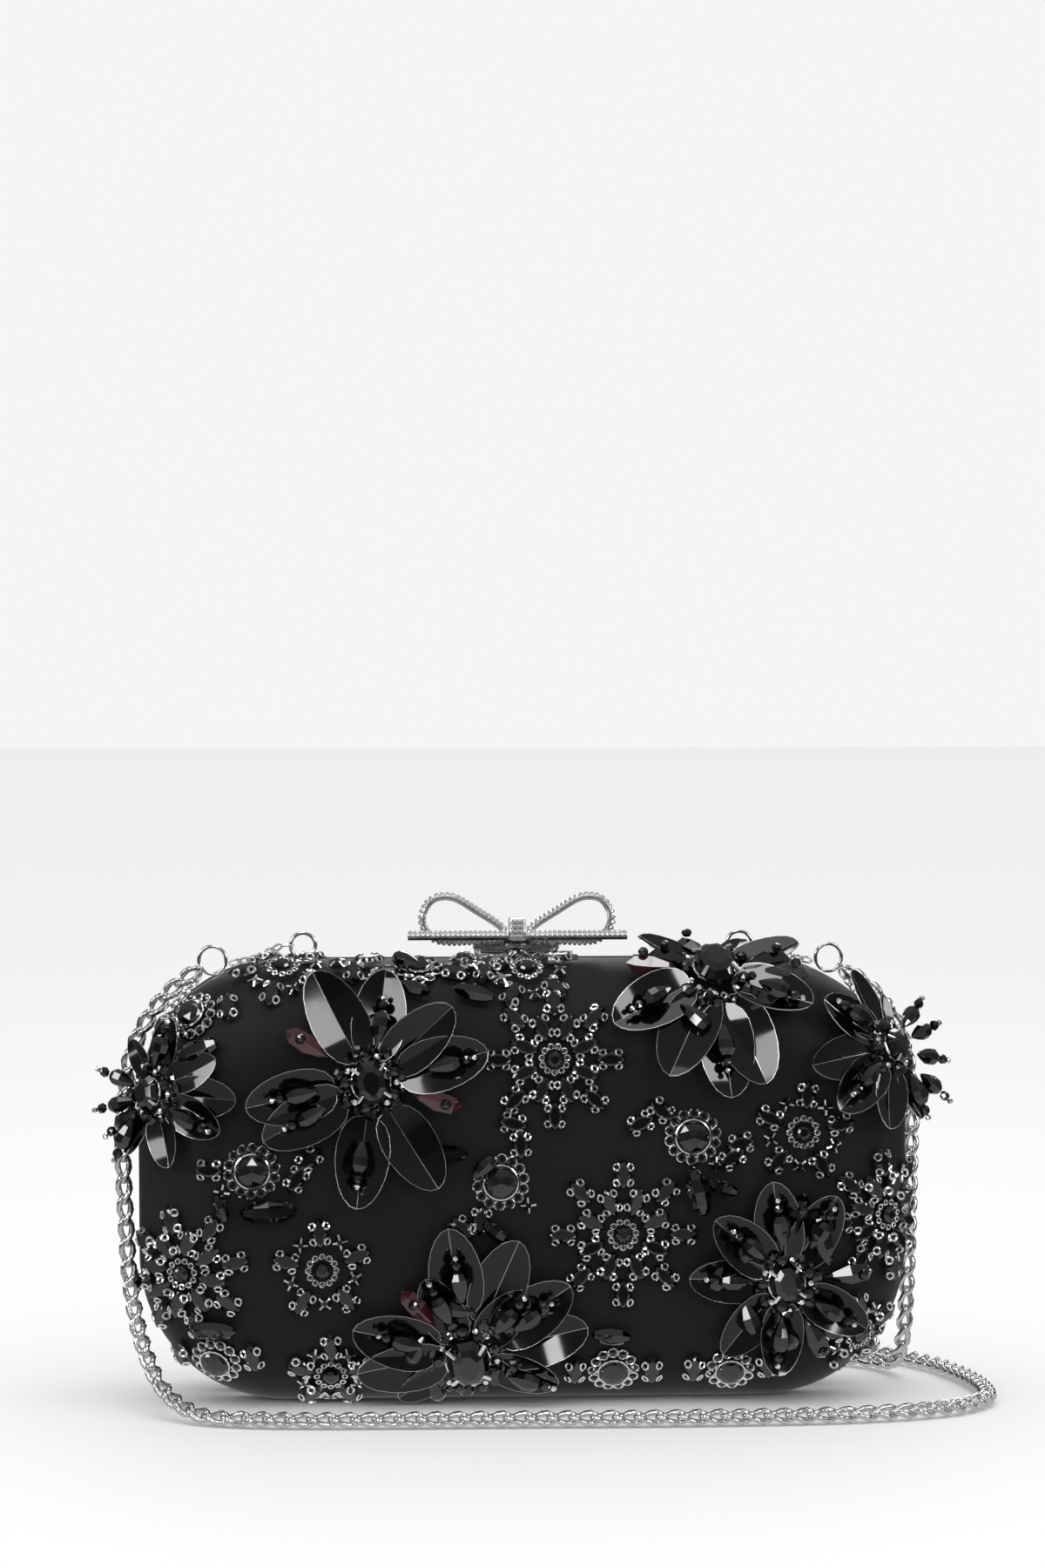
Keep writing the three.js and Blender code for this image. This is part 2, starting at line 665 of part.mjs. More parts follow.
// From the left ring down the side, along the floor in front, round the right end, back behind
// the bag in one long bight, and up the right side to the other ring
const CHAIN_ROUTE = [
  [-84.6, 3.1, 111.4],
  [-90.5, 2.6, 107],
  [-97.2, 1.4, 99.3],
  [-101.8, 0, 89.5],
  [-103.8, -2, 77],
  [-104, -3.4, 62],
  [-103.4, -5.5, 46],
  [-102.2, -12, 30],
  [-98.5, -25, 15],
  [-93, -38, 6.4],
  [-84.5, -49, 2.7],
  [-70, -55.5, 2.4],
  [0, -59, 2.4],
  [46, -59.5, 2.4],
  [82, -56.5, 2.4],
  [106, -47, 2.4],
  [117.5, -32, 2.4],
  [120, -12, 2.4],
  [118, 12, 2.4],
  [111.5, 36, 2.4],
  [98, 56, 2.4],
  [72, 69, 2.4],
  [30, 73, 2.4],
  [-53.7, 73.5, 2.4],
  [-63.2, 70, 2.4],
  [-66.7, 61.8, 2.4],
  [-63.2, 53.6, 2.4],
  [-53.7, 50, 2.4],
  [30, 50.4, 2.4],
  [72, 49.4, 2.4],
  [90, 45.5, 2.4],
  [98.6, 37, 2.4],
  [101.8, 27, 3.6],
  [103, 19, 10.5],
  [103.2, 11.8, 32],
  [103.2, 8, 60],
  [103, 6.2, 77],
  [100.2, 4.4, 93],
  [93.6, 3.4, 104],
  [84.6, 3.1, 111.4],
];

function strapChain() {
  const stops = CHAIN_ROUTE.map((point) => new THREE.Vector3(...point));
  const path = new THREE.CatmullRomCurve3(stops, false, 'centripetal');
  const sides = 8;
  const section = new THREE.Shape();
  for (let i = 0; i < sides; i++) {
    const angle = (i + 0.5) / sides * 2 * Math.PI;
    const corner = [CHAIN_WIDTH / 2 * Math.cos(angle), CHAIN_WIDTH / 2 * Math.sin(angle)];
    if (i === 0) section.moveTo(...corner);
    else section.lineTo(...corner);
  }
  const sweep = { steps: CHAIN_STEPS, extrudePath: path, bevelEnabled: false };
  const tube = new THREE.ExtrudeGeometry(section, sweep);
  return facingOut(bare(tube));
}

// ---- Embroidered motifs ----

// Each kind: rays, how deep the notches between them go, height at the middle and at the tips
const KINDS = {
  flower: { rays: 8, notch: 0.62, core: 9.5, tip: 2.2 },
  star: { rays: 8, notch: 0.68, core: 3.6, tip: 2.4 },
  starlet: { rays: 5, notch: 0.68, core: 3.6, tip: 2.4 },
  cluster: { rays: 7, notch: 0.86, core: 4.6, tip: 2.6 },
};

// Name, kind, place on the pattern in millimetres across and up, and reach of the rays
const MOTIFS = [
  ['flower_upper_left', 'flower', -40.6, 84.6, 22],
  ['flower_top_right', 'flower', 48.9, 110.9, 13],
  ['flower_bottom_centre', 'flower', -15.7, 12.6, 13],
  ['flower_lower_right', 'flower', 66.6, 31.8, 18],
  ['flower_left_edge', 'flower', -95.4, 81.1, 12],
  ['flower_right_edge', 'flower', 93.6, 91.1, 13],
  ['star_upper_centre', 'star', 6.6, 90, 17.5],
  ['star_centre', 'star', 24.3, 44.6, 18.5],
  ['star_left_edge', 'star', -89.1, 35, 13],
  ['star_right_edge', 'star', 93.4, 48.6, 13],
  ['starlet_left', 'starlet', -53.2, 35.9, 13.5],
  ['starlet_right', 'starlet', 70.9, 70.7, 13],
  ['starlet_top_left', 'starlet', -62.7, 112.6, 9],
  ['starlet_top_centre', 'starlet', 0.2, 112, 8],
  ['starlet_bottom_left', 'starlet', -50.9, 8.1, 8],
  ['starlet_right_corner', 'starlet', 86.6, 17.6, 8],
  ['cluster_left', 'cluster', -71.1, 61.6, 9],
  ['cluster_centre', 'cluster', -7.3, 58.4, 9],
  ['cluster_right', 'cluster', 42.3, 69.8, 9],
  ['cluster_left_corner', 'cluster', -80.5, 11.6, 8],
  ['cluster_bottom_centre', 'cluster', 22.3, 8.4, 8],
  ['cluster_bottom_right', 'cluster', 52.7, 8.2, 7.5],
  ['cluster_top', 'cluster', -27.7, 112.4, 7],
  ['cluster_shoulder', 'cluster', -86, 101, 8],
];

function motifSolid(kind, x, z, reach) {
  const { rays, notch, core, tip } = KINDS[kind];
  const middle = seatFromFront(x, z);
  const across = new THREE.Vector3(0, 0, 1).cross(middle.normal).negate().normalize();
  const up = new THREE.Vector3().crossVectors(middle.normal, across).normalize();
  const spokes = 2 * rays;
  const shares = [1 / 2, 1];
  const ring = (share, height) => Array.from({ length: spokes }, (_, i) => {
    const angle = (i / spokes) * 2 * Math.PI + Math.PI / 2;
    const radius = share * reach * (i % 2 === 0 ? 1 : notch);
    const flat = middle.spot.clone();
    flat.addScaledVector(across, radius * Math.cos(angle));
    flat.addScaledVector(up, radius * Math.sin(angle));
    const { spot, normal } = seat(flat);
    return spot.addScaledVector(normal, SEW_GAP + height);
  });
  const heightAt = (share) => core + (tip - core) * share * share;
  const topRings = shares.map((share) => ring(share, heightAt(share)));
  const backRings = shares.map((share) => ring(share, 0)).reverse();
  const poles = [core, 0].map((height) => {
    return middle.spot.clone().addScaledVector(middle.normal, SEW_GAP + height);
  });
  return loft([...topRings, ...backRings], poles);
}

function makeMotifs() {
  const scaleX = BODY_WIDTH / PATTERN_WIDTH;
  const scaleZ = BODY_HEIGHT / PATTERN_HEIGHT;
  const scale = Math.min(scaleX, scaleZ);
  for (const [name, kind, x, z, reach] of MOTIFS) {
    add(name, motifSolid(kind, x * scaleX, z * scaleZ, reach * scale), MATERIALS.crystal);
  }
}

makeHalf('front', -1, CROWN);
makeHalf('back', 1, 0);
add('slip_pocket', slipPocket(), MATERIALS.lining);
makeHinges();
makeClasp();
makeStrapFittings();
add('strap_chain', strapChain(), MATERIALS.silver);
makeMotifs();

export default bag;
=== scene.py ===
# Evening bag: a hard box clutch in black satin, sewn over its front with jet crystal motifs,
# closed by a silver bow clasp and carried on a silver curb chain. Metres, in the CAD model's
# frame: +Z up, the embroidered face towards -Y, the origin on the flat base.
from math import atan2, cos, hypot, pi, radians, sin, sqrt, tan

import bmesh
import bpy
from mathutils import Matrix, Vector, noise


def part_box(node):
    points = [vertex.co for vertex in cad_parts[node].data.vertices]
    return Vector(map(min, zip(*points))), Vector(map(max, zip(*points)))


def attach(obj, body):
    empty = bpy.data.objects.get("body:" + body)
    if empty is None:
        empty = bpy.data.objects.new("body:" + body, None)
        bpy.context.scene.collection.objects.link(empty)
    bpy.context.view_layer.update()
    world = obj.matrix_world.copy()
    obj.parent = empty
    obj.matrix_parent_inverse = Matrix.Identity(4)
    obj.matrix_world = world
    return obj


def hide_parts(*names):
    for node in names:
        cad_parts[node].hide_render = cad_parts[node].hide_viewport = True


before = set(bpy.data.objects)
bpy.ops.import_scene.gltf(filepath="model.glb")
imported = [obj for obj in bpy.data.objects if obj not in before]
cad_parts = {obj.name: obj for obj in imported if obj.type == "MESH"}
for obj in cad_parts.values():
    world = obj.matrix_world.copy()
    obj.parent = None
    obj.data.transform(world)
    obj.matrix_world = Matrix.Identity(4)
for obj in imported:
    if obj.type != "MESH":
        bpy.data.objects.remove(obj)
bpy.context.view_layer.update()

MM = 0.001
X = Vector((1, 0, 0))
Y = Vector((0, 1, 0))
Z = Vector((0, 0, 1))

# ---- Camera ----
# The bag stands on a pale floor and is seen from just above, a little from its left.

CAMERA_DISTANCE = 1.4
CAMERA_AZIMUTH = radians(-4)
CAMERA_RISE = radians(6.2)

cover_low, cover_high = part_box("front_cover")
body_low, body_high = cover_low, Vector((cover_high.x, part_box("back_cover")[1].y, cover_high.z))
aim = Vector((0, 0, (body_low.z + body_high.z) / 2))

camera_data = bpy.data.cameras.new("camera")
camera_data.lens = 123
camera_data.shift_y = 0.251
camera = bpy.data.objects.new("camera", camera_data)
bpy.context.scene.collection.objects.link(camera)
back = Vector((
    sin(CAMERA_AZIMUTH) * cos(CAMERA_RISE),
    -cos(CAMERA_AZIMUTH) * cos(CAMERA_RISE),
    sin(CAMERA_RISE),
))
camera.location = aim + back * CAMERA_DISTANCE
camera.rotation_euler = back.to_track_quat("Z", "Y").to_euler()
bpy.context.scene.camera = camera


# ---- Materials ----
# Black satin over board, silver-plated brass, jet glass, glossy film paillettes, a few smoky
# and burgundy crystals, and black taffeta lining.

def shader_of(name, base, roughness, metallic=0.0, **values):
    mat = bpy.data.materials.new(name)
    mat.use_nodes = True
    shader = mat.node_tree.nodes["Principled BSDF"]
    shader.inputs["Base Color"].default_value = (*base, 1)
    shader.inputs["Roughness"].default_value = roughness
    shader.inputs["Metallic"].default_value = metallic
    for key, value in values.items():
        shader.inputs[key.replace("_", " ")].default_value = value
    return mat, shader


def group_socket(group, name, side, kind, value=None):
    made = group.interface.new_socket(name=name, in_out=side, socket_type=kind)
    if value is not None:
        made.default_value = value


def noise_group():
    group = bpy.data.node_groups.new("surface grain", "ShaderNodeTree")
    group_socket(group, "Scale", "INPUT", "NodeSocketFloat", 100.0)
    group_socket(group, "Stretch", "INPUT", "NodeSocketVector", (1, 1, 1))
    group_socket(group, "Low", "INPUT", "NodeSocketFloat", 0.0)
    group_socket(group, "High", "INPUT", "NodeSocketFloat", 1.0)
    group_socket(group, "Depth", "INPUT", "NodeSocketFloat", 0.0001)
    group_socket(group, "Value", "OUTPUT", "NodeSocketFloat")
    group_socket(group, "Normal", "OUTPUT", "NodeSocketVector")
    nodes, links = group.nodes, group.links
    ends = nodes.new("NodeGroupInput"), nodes.new("NodeGroupOutput")
    place = nodes.new("ShaderNodeTexCoord")
    stretch = nodes.new("ShaderNodeMapping")
    spots = nodes.new("ShaderNodeTexNoise")
    spots.inputs["Detail"].default_value = 5
    scale = nodes.new("ShaderNodeMapRange")
    bump = nodes.new("ShaderNodeBump")
    bump.inputs["Strength"].default_value = 1
    links.new(place.outputs["Object"], stretch.inputs["Vector"])
    links.new(ends[0].outputs["Stretch"], stretch.inputs["Scale"])
    links.new(stretch.outputs["Vector"], spots.inputs["Vector"])
    links.new(ends[0].outputs["Scale"], spots.inputs["Scale"])
    links.new(spots.outputs["Fac"], scale.inputs["Value"])
    scale.inputs["From Min"].default_value = 0.3
    scale.inputs["From Max"].default_value = 0.7
    links.new(ends[0].outputs["Low"], scale.inputs["To Min"])
    links.new(ends[0].outputs["High"], scale.inputs["To Max"])
    links.new(spots.outputs["Fac"], bump.inputs["Height"])
    links.new(ends[0].outputs["Depth"], bump.inputs["Distance"])
    links.new(scale.outputs["Result"], ends[1].inputs["Value"])
    links.new(bump.outputs["Normal"], ends[1].inputs["Normal"])
    return group


GRAIN = noise_group()


def add_grain(mat, shader, scale, low, high, depth, stretch=(1, 1, 1)):
    """Roughness from low to high in soft patches, and a bump of that depth."""
    node = mat.node_tree.nodes.new("ShaderNodeGroup")
    node.node_tree = GRAIN
    for key, value in (("Scale", scale), ("Stretch", stretch), ("Low", low), ("High", high), ("Depth", depth)):
        node.inputs[key].default_value = value
    mat.node_tree.links.new(node.outputs["Value"], shader.inputs["Roughness"])
    mat.node_tree.links.new(node.outputs["Normal"], shader.inputs["Normal"])
    return mat


def satin_weave(mat, shader, wave_scale, depth):
    """Fine warp threads that run up the piece, over slow folds in the cloth."""
    nodes, links = mat.node_tree.nodes, mat.node_tree.links
    place = nodes.new("ShaderNodeTexCoord")
    threads = nodes.new("ShaderNodeTexWave")
    threads.bands_direction = "DIAGONAL"
    threads.inputs["Scale"].default_value = wave_scale
    threads.inputs["Distortion"].default_value = 1.5
    bump = nodes.new("ShaderNodeBump")
    bump.inputs["Distance"].default_value = depth
    bump.inputs["Strength"].default_value = 0.5
    slow = nodes.new("ShaderNodeGroup")
    slow.node_tree = GRAIN
    for key, value in (("Scale", 22.0), ("Low", 0.42), ("High", 0.56), ("Depth", 0.0009)):
        slow.inputs[key].default_value = value
    links.new(place.outputs["Object"], threads.inputs["Vector"])
    links.new(threads.outputs["Fac"], bump.inputs["Height"])
    links.new(slow.outputs["Normal"], bump.inputs["Normal"])
    links.new(slow.outputs["Value"], shader.inputs["Roughness"])
    links.new(bump.outputs["Normal"], shader.inputs["Normal"])
    return mat


satin = satin_weave(*shader_of(
    "black satin", (0.0062, 0.0056, 0.0062), 0.5, Sheen_Weight=0.05, Sheen_Roughness=0.4,
    Specular_IOR_Level=0.24,
), 2600, 0.00002)
lining_cloth = satin_weave(*shader_of("taffeta lining", (0.03, 0.027, 0.03), 0.6, Sheen_Weight=0.3), 700, 0.00005)
board = add_grain(*shader_of("board", (0.25, 0.22, 0.18), 0.85), 300, 0.8, 0.95, 0.0001)
silver = add_grain(*shader_of("silver plate", (0.74, 0.74, 0.75), 0.12, 1.0), 160, 0.08, 0.17, 0.000004)
setting_silver = add_grain(*shader_of("setting plate", (0.93, 0.93, 0.935), 0.16, 1.0), 160, 0.1, 0.22, 0.000004)
chain_silver = add_grain(*shader_of("chain plate", (0.66, 0.66, 0.665), 0.14, 1.0), 160, 0.1, 0.2, 0.000004)
bow_silver = add_grain(*shader_of("bow plate", (0.95, 0.95, 0.955), 0.26, 1.0), 300, 0.2, 0.32, 0.000004)
steel = add_grain(*shader_of("steel", (0.55, 0.55, 0.56), 0.28, 1.0), 400, 0.2, 0.34, 0.00001, (0.2, 1, 1))
jet = shader_of("jet glass", (0.002, 0.002, 0.0025), 0.03, IOR=1.8)[0]
film = add_grain(*shader_of("black film", (0.003, 0.003, 0.0035), 0.06, IOR=1.5), 60, 0.02, 0.09, 0.000002)
burgundy = shader_of("burgundy glass", (0.06, 0.012, 0.014), 0.03, IOR=1.75, Transmission_Weight=0.15)[0]
smoky = shader_of("smoky glass", (0.25, 0.24, 0.24), 0.03, IOR=1.6, Transmission_Weight=0.8)[0]
clear = shader_of("rhinestone", (0.96, 0.96, 0.98), 0.12, 0.75, IOR=1.8)[0]

for node_name, finish in {
    "front_shell": board, "back_shell": board, "slip_pocket": lining_cloth, "clasp_base": silver,
    "clasp_lever": silver, "strike_plate": silver, "clasp_pin": steel, "clasp_spring": steel,
    "clasp_rivet_left": steel, "clasp_rivet_right": steel, "hinge_pin_left": steel,
    "hinge_pin_right": steel, "hinge_leaf_front_left": steel, "hinge_leaf_front_right": steel,
    "hinge_leaf_back_left": steel, "hinge_leaf_back_right": steel,
}.items():
    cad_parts[node_name].data.materials.clear()
    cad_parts[node_name].data.materials.append(finish)


def piece(name, bm, finishes, body, replaces=(), smooth=False):
    """Makes a bmesh an object that rides a body and stands for CAD nodes."""
    mesh = bpy.data.meshes.new(name)
    bm.to_mesh(mesh)
    bm.free()
    for finish in finishes:
        mesh.materials.append(finish)
    if smooth:
        mesh.shade_smooth()
    obj = bpy.data.objects.new(name, mesh)
    bpy.context.scene.collection.objects.link(obj)
    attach(obj, body)
    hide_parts(*replaces)
    return obj


def template(bm, finish=0):
    """Keeps a bmesh as a mesh to copy, with one material index."""
    bmesh.ops.recalc_face_normals(bm, faces=bm.faces[:])
    for face in bm.faces:
        face.material_index = finish
    mesh = bpy.data.meshes.new("template")
    bm.to_mesh(mesh)
    bm.free()
    return mesh


def put(bm, mesh, place):
    """Copies a template into a bmesh at a place."""
    copy = mesh.copy()
    copy.transform(place)
    bm.from_mesh(copy)
    bpy.data.meshes.remove(copy)


def wire_loop(radius, wire, steps, sides):
    """A ring of round wire in the XY plane."""
    bm = bmesh.new()
    stand = Matrix.Translation((radius, 0, 0)) @ Matrix.Rotation(pi / 2, 4, "X")
    bmesh.ops.create_circle(bm, segments=sides, radius=wire, matrix=stand)
    bmesh.ops.spin(
        bm, geom=bm.verts[:] + bm.edges[:], cent=(0, 0, 0), axis=Z, angle=2 * pi, steps=steps,
        use_merge=True,
    )
    return bm


# ---- Chain strap ----
# Curb chain of silver-plated wire links, each twisted so that the chain lies flat. It hangs
# from the left ring, lies along the floor in front, loops behind and rises to the right ring.

CHAIN_PITCH = 5.5 * MM
CHAIN_ROUTE = [Vector(point) * MM for point in (
    (-84.6, 3.1, 111.4), (-90.5, 2.6, 107), (-97.2, 1.4, 99.3), (-101.8, 0, 89.5),
    (-103.8, -2, 77), (-104, -3.4, 62), (-103.4, -5.5, 46), (-102.2, -12, 30),
    (-98.5, -25, 15), (-93, -38, 6.4), (-84.5, -49, 2.7), (-70, -55.5, 2.4),
    (0, -59, 2.4), (46, -59.5, 2.4), (82, -56.5, 2.4), (106, -47, 2.4),
    (117.5, -32, 2.4), (120, -12, 2.4), (118, 12, 2.4), (111.5, 36, 2.4),
    (98, 56, 2.4), (72, 69, 2.4), (30, 73, 2.4), (-53.7, 73.5, 2.4),
    (-63.2, 70, 2.4), (-66.7, 61.8, 2.4), (-63.2, 53.6, 2.4), (-53.7, 50, 2.4),
    (30, 50.4, 2.4), (72, 49.4, 2.4), (90, 45.5, 2.4), (98.6, 37, 2.4),
    (101.8, 27, 3.6), (103, 19, 10.5), (103.2, 11.8, 32), (103.2, 8, 60),
    (103, 6.2, 77), (100.2, 4.4, 93), (93.6, 3.4, 104), (84.6, 3.1, 111.4),
)]


def curve_through(points, per_span=12):
    """Points close together on a centripetal curve through the given ones."""
    ends = [2 * points[0] - points[1], *points, 2 * points[-1] - points[-2]]
    line = []
    for a, b, c, d in zip(ends, ends[1:], ends[2:], ends[3:]):
        t = [0.0]
        for p, q in ((a, b), (b, c), (c, d)):
            t.append(t[-1] + max((q - p).length, 1e-6) ** 0.5)
        for i in range(per_span):
            s = t[1] + (t[2] - t[1]) * i / per_span
            ab, bc, cd = (
                p.lerp(q, (s - t[k]) / (t[k + 1] - t[k])) for k, (p, q) in enumerate(((a, b), (b, c), (c, d)))
            )
            abc = ab.lerp(bc, (s - t[0]) / (t[2] - t[0]))
            bcd = bc.lerp(cd, (s - t[1]) / (t[3] - t[1]))
            line.append(abc.lerp(bcd, (s - t[1]) / (t[2] - t[1])))
    return [*line, points[-1]]


def spaced(line, pitch):
    """Evenly spaced (point, direction) along a line of points."""
    stations, travelled, due = [], 0.0, pitch / 2
    for p, q in zip(line, line[1:]):
        step = (q - p).length
        while step > 0 and travelled + step >= due:
            stations.append((p.lerp(q, (due - travelled) / step), (q - p).normalized()))
            due += pitch
        travelled += step
    return stations


def curb_link(reach, half_width, wire, twist):
    """One link along X, its wire loop twisted about its length."""
    bm = wire_loop(1, wire / reach, 16, 6)
    for vert in bm.verts:
        along = hypot(vert.co.x, vert.co.y)
        swell = Vector((vert.co.x / along, vert.co.y / along, 0))
        offset = vert.co - swell
        vert.co = Vector((swell.x * reach, swell.y * half_width, 0)) + offset * reach
        vert.co = Matrix.Rotation(twist * vert.co.x / reach, 3, "X") @ vert.co
    return template(bm)


def along_line(point, direction, side):
    """A place whose X runs along the direction, with its Z towards the side."""
    up = (side - direction * side.dot(direction)).normalized()
    across = up.cross(direction)
    return Matrix((
        (direction.x, across.x, up.x, point.x),
        (direction.y, across.y, up.y, point.y),
        (direction.z, across.z, up.z, point.z),
        (0, 0, 0, 1),
    ))


chain_line = curve_through(CHAIN_ROUTE)
chain_link = curb_link(3.55 * MM, 1.55 * MM, 0.86 * MM, radians(62))
chain_bm = bmesh.new()
for point, direction in spaced(chain_line, CHAIN_PITCH):
    hanging = abs(direction.z) > 0.45
    facing = Vector((0.35 * (1 if point.x > 0 else -1), -1, 0.2)) if hanging else Vector((0, -0.75, 1))
    put(chain_bm, chain_link, along_line(point, direction, facing))
chain = piece("curb_chain", chain_bm, [chain_silver], "front_half", ["strap_chain"], smooth=True)

# ---- Strap fittings ----
# A wire lug in each notch of the front frame holds a loose ring. A fine chain of small links
# runs from it along the shoulder to a larger ring, where the curb chain is hooked.

LUG_EYE = 1.1 * MM
FINE_PITCH = 2.3 * MM
STRAP_RING_RADIUS = 3.6 * MM
STRAP_RING_X = 80.5 * MM
STRAP_RING_LIFT = 4.9 * MM
CORNER_RADIUS = 38 * MM

half_width = body_high.x
half_height = (body_high.z - body_low.z) / 2
parting_y = (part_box("front_frame")[1].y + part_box("back_frame")[0].y) / 2


def standing(x, y, z, turn=0.0):
    """A place for a ring that stands in the plane of the bag's face, turned about Z."""
    return Matrix.Translation((x, y, z)) @ Matrix.Rotation(turn, 4, "Z") @ Matrix.Rotation(pi / 2, 4, "X")


def corner_top(x):
    run = max(abs(x) - (half_width - CORNER_RADIUS), 0)
    return body_high.z - CORNER_RADIUS + sqrt(CORNER_RADIUS ** 2 - run ** 2)


def add_fine_chain(bm, link, line):
    """Small oval links, every second one turned on edge."""
    for index, (point, direction) in enumerate(spaced(line, FINE_PITCH)):
        put(bm, link, along_line(point, direction, Vector((0, -1, 1 if index % 2 else -1))))


fine_link = curb_link(1.55 * MM, 0.95 * MM, 0.32 * MM, 0)
small_loop = template(wire_loop(1.5 * MM, 0.32 * MM, 16, 6))
wide_loop = template(wire_loop(STRAP_RING_RADIUS, 0.5 * MM, 32, 8))
for side_name, sign in (("left", -1), ("right", 1)):
    ring_low, ring_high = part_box(f"frame_ring_{side_name}")
    middle = (ring_low + ring_high) / 2
    radius = (ring_high.z - ring_low.z) / 2 - 0.45 * MM
    ring_bm = bmesh.new()
    put(ring_bm, template(wire_loop(radius, 0.5 * MM, 32, 8)), standing(*middle))
    piece(f"ring_{side_name}", ring_bm, [silver], f"ring_{side_name}", [f"frame_ring_{side_name}"], True)

    lug_low, lug_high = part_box(f"ring_lug_{side_name}")
    lug_middle = (lug_low + lug_high) / 2
    lug_bm = bmesh.new()
    eye = Matrix.Translation((lug_middle.x, lug_middle.y, lug_high.z - 1.5 * MM)) @ Matrix.Rotation(pi / 2, 4, "Y")
    put(lug_bm, template(wire_loop(LUG_EYE, 0.4 * MM, 20, 8)), eye)
    plate = bmesh.new()
    bmesh.ops.create_cube(plate, size=1)
    bmesh.ops.scale(plate, vec=(lug_high.x - lug_low.x, lug_high.y - lug_low.y, 0.7 * MM), verts=plate.verts)
    bmesh.ops.bevel(
        plate, geom=plate.edges[:], offset=0.12 * MM, offset_type="OFFSET", segments=2, profile=0.5,
        affect="EDGES", material=-1,
    )
    put(lug_bm, template(plate), Matrix.Translation((lug_middle.x, lug_middle.y, lug_low.z + 0.35 * MM)))
    piece(f"lug_{side_name}", lug_bm, [silver], "front_half", [f"ring_lug_{side_name}"], True)

    ring_x = sign * STRAP_RING_X
    ring_z = corner_top(ring_x) + STRAP_RING_LIFT
    end_bm = bmesh.new()
    put(end_bm, wide_loop, standing(ring_x, lug_middle.y, ring_z, sign * radians(12)))
    hook_x = middle.x + sign * (radius + 0.9 * MM)
    put(end_bm, small_loop, Matrix.Translation((hook_x, middle.y, middle.z)))
    run = [
        Vector((hook_x + sign * 1.6 * MM, middle.y, middle.z)),
        Vector((middle.x + sign * 11 * MM, middle.y, corner_top(middle.x + sign * 11 * MM) + 1.6 * MM)),
        Vector((ring_x - sign * (STRAP_RING_RADIUS + 0.6 * MM), middle.y, ring_z - 1 * MM)),
    ]
    add_fine_chain(end_bm, fine_link, curve_through(run))
    drape = [
        Vector((ring_x + sign * 3.2 * MM, lug_middle.y, ring_z - 3.4 * MM)),
        Vector((ring_x + sign * 6.5 * MM, lug_middle.y - 2.2 * MM, ring_z - 8 * MM)),
        Vector((ring_x + sign * 12.6 * MM, lug_middle.y - 4 * MM, ring_z - 13.5 * MM)),
    ]
    add_fine_chain(end_bm, fine_link, curve_through(drape))
    piece(f"fine_chain_{side_name}", end_bm, [silver], "front_half", [f"strap_end_{side_name}"], True)


# ---- Covers, linings and frames ----
# Each half is a board shell bowed like a shallow dish, with black satin drawn over it on thin
# padding, taffeta inside, and a silver frame round its mouth that is notched for the hinges.

SHOULDER = 24 * MM
RIM_DEPTH = 9 * MM
BOW_DEPTH = 18 * MM
CROWN = 1 * MM
LAYER_START = 4.05 * MM
FRAME_WALL = 5.6 * MM
OPEN_ANGLE = radians(45)


def rounded_panel(inset):
    """The front view's rounded rectangle as one face in the XY plane."""
    bm = bmesh.new()
    x, y = half_width - inset, half_height - inset
    bm.faces.new([bm.verts.new((sx * x, sy * y, 0)) for sx, sy in ((-1, -1), (1, -1), (1, 1), (-1, 1))])
    bmesh.ops.bevel(
        bm, geom=bm.verts[:], offset=CORNER_RADIUS - inset, offset_type="OFFSET", segments=24, profile=0.5,
        affect="VERTICES", material=-1,
    )
    return bm


def to_half(side):
    """From a panel drawn flat, with depth along Z, to its place in a half."""
    return Matrix((
        (1, 0, 0, 0),
        (0, 0, side, parting_y),
        (0, 1, 0, body_low.z + half_height),
        (0, 0, 0, 1),
    ))


def inset_at(x, y):
    """Distance in from the outline of a point of the front view, from its middle."""
    qx, qy = abs(x) - (half_width - CORNER_RADIUS), abs(y) - (half_height - CORNER_RADIUS)
    return CORNER_RADIUS - hypot(max(qx, 0), max(qy, 0)) - min(max(qx, qy), 0)


def bowed_skin(offset, side, crown, ripple):
    """One skin of a half, from its mouth round the shoulder to the bowed face."""
    bm = rounded_panel(offset)
    bmesh.ops.translate(bm, vec=(0, 0, LAYER_START), verts=bm.verts)
    steps = [(0.001 * MM, RIM_DEPTH - LAYER_START)]
    turns = [radians(90) * i / 14 for i in range(15)]
    for a, b in zip(turns, turns[1:]):
        steps.append((SHOULDER * (cos(a) - cos(b)), (BOW_DEPTH - offset) * (sin(b) - sin(a))))
    bm.faces.ensure_lookup_table()
    cap = bm.faces[0]
    for thickness, depth in steps:
        bmesh.ops.inset_region(
            bm, faces=[cap], thickness=thickness, depth=depth, use_boundary=True, use_even_offset=True,
        )
    for axis, reach in ((X, half_width), (Y, half_height)):
        at = -reach + 7 * MM
        while at < reach - 6 * MM:
            geom = bm.verts[:] + bm.edges[:] + bm.faces[:]
            bmesh.ops.bisect_plane(bm, geom=geom, dist=0.01 * MM, plane_co=axis * at, plane_no=axis)
            at += 6 * MM
    for vert in bm.verts:
        inset = inset_at(vert.co.x, vert.co.y)
        share = min(max((inset - SHOULDER) / (half_height - SHOULDER), 0), 1)
        vert.co.z += crown * share
        fade = min(max((inset - 8 * MM) / (14 * MM), 0), 1)
        vert.co.z += ripple * fade * noise.noise(vert.co * 38)
    bm.transform(to_half(side))
    bmesh.ops.recalc_face_normals(bm, faces=bm.faces[:])
    middle = max(bm.faces, key=lambda face: side * face.calc_center_median().y)
    if middle.normal.y * side < 0:
        bmesh.ops.reverse_faces(bm, faces=bm.faces[:])
    return bm


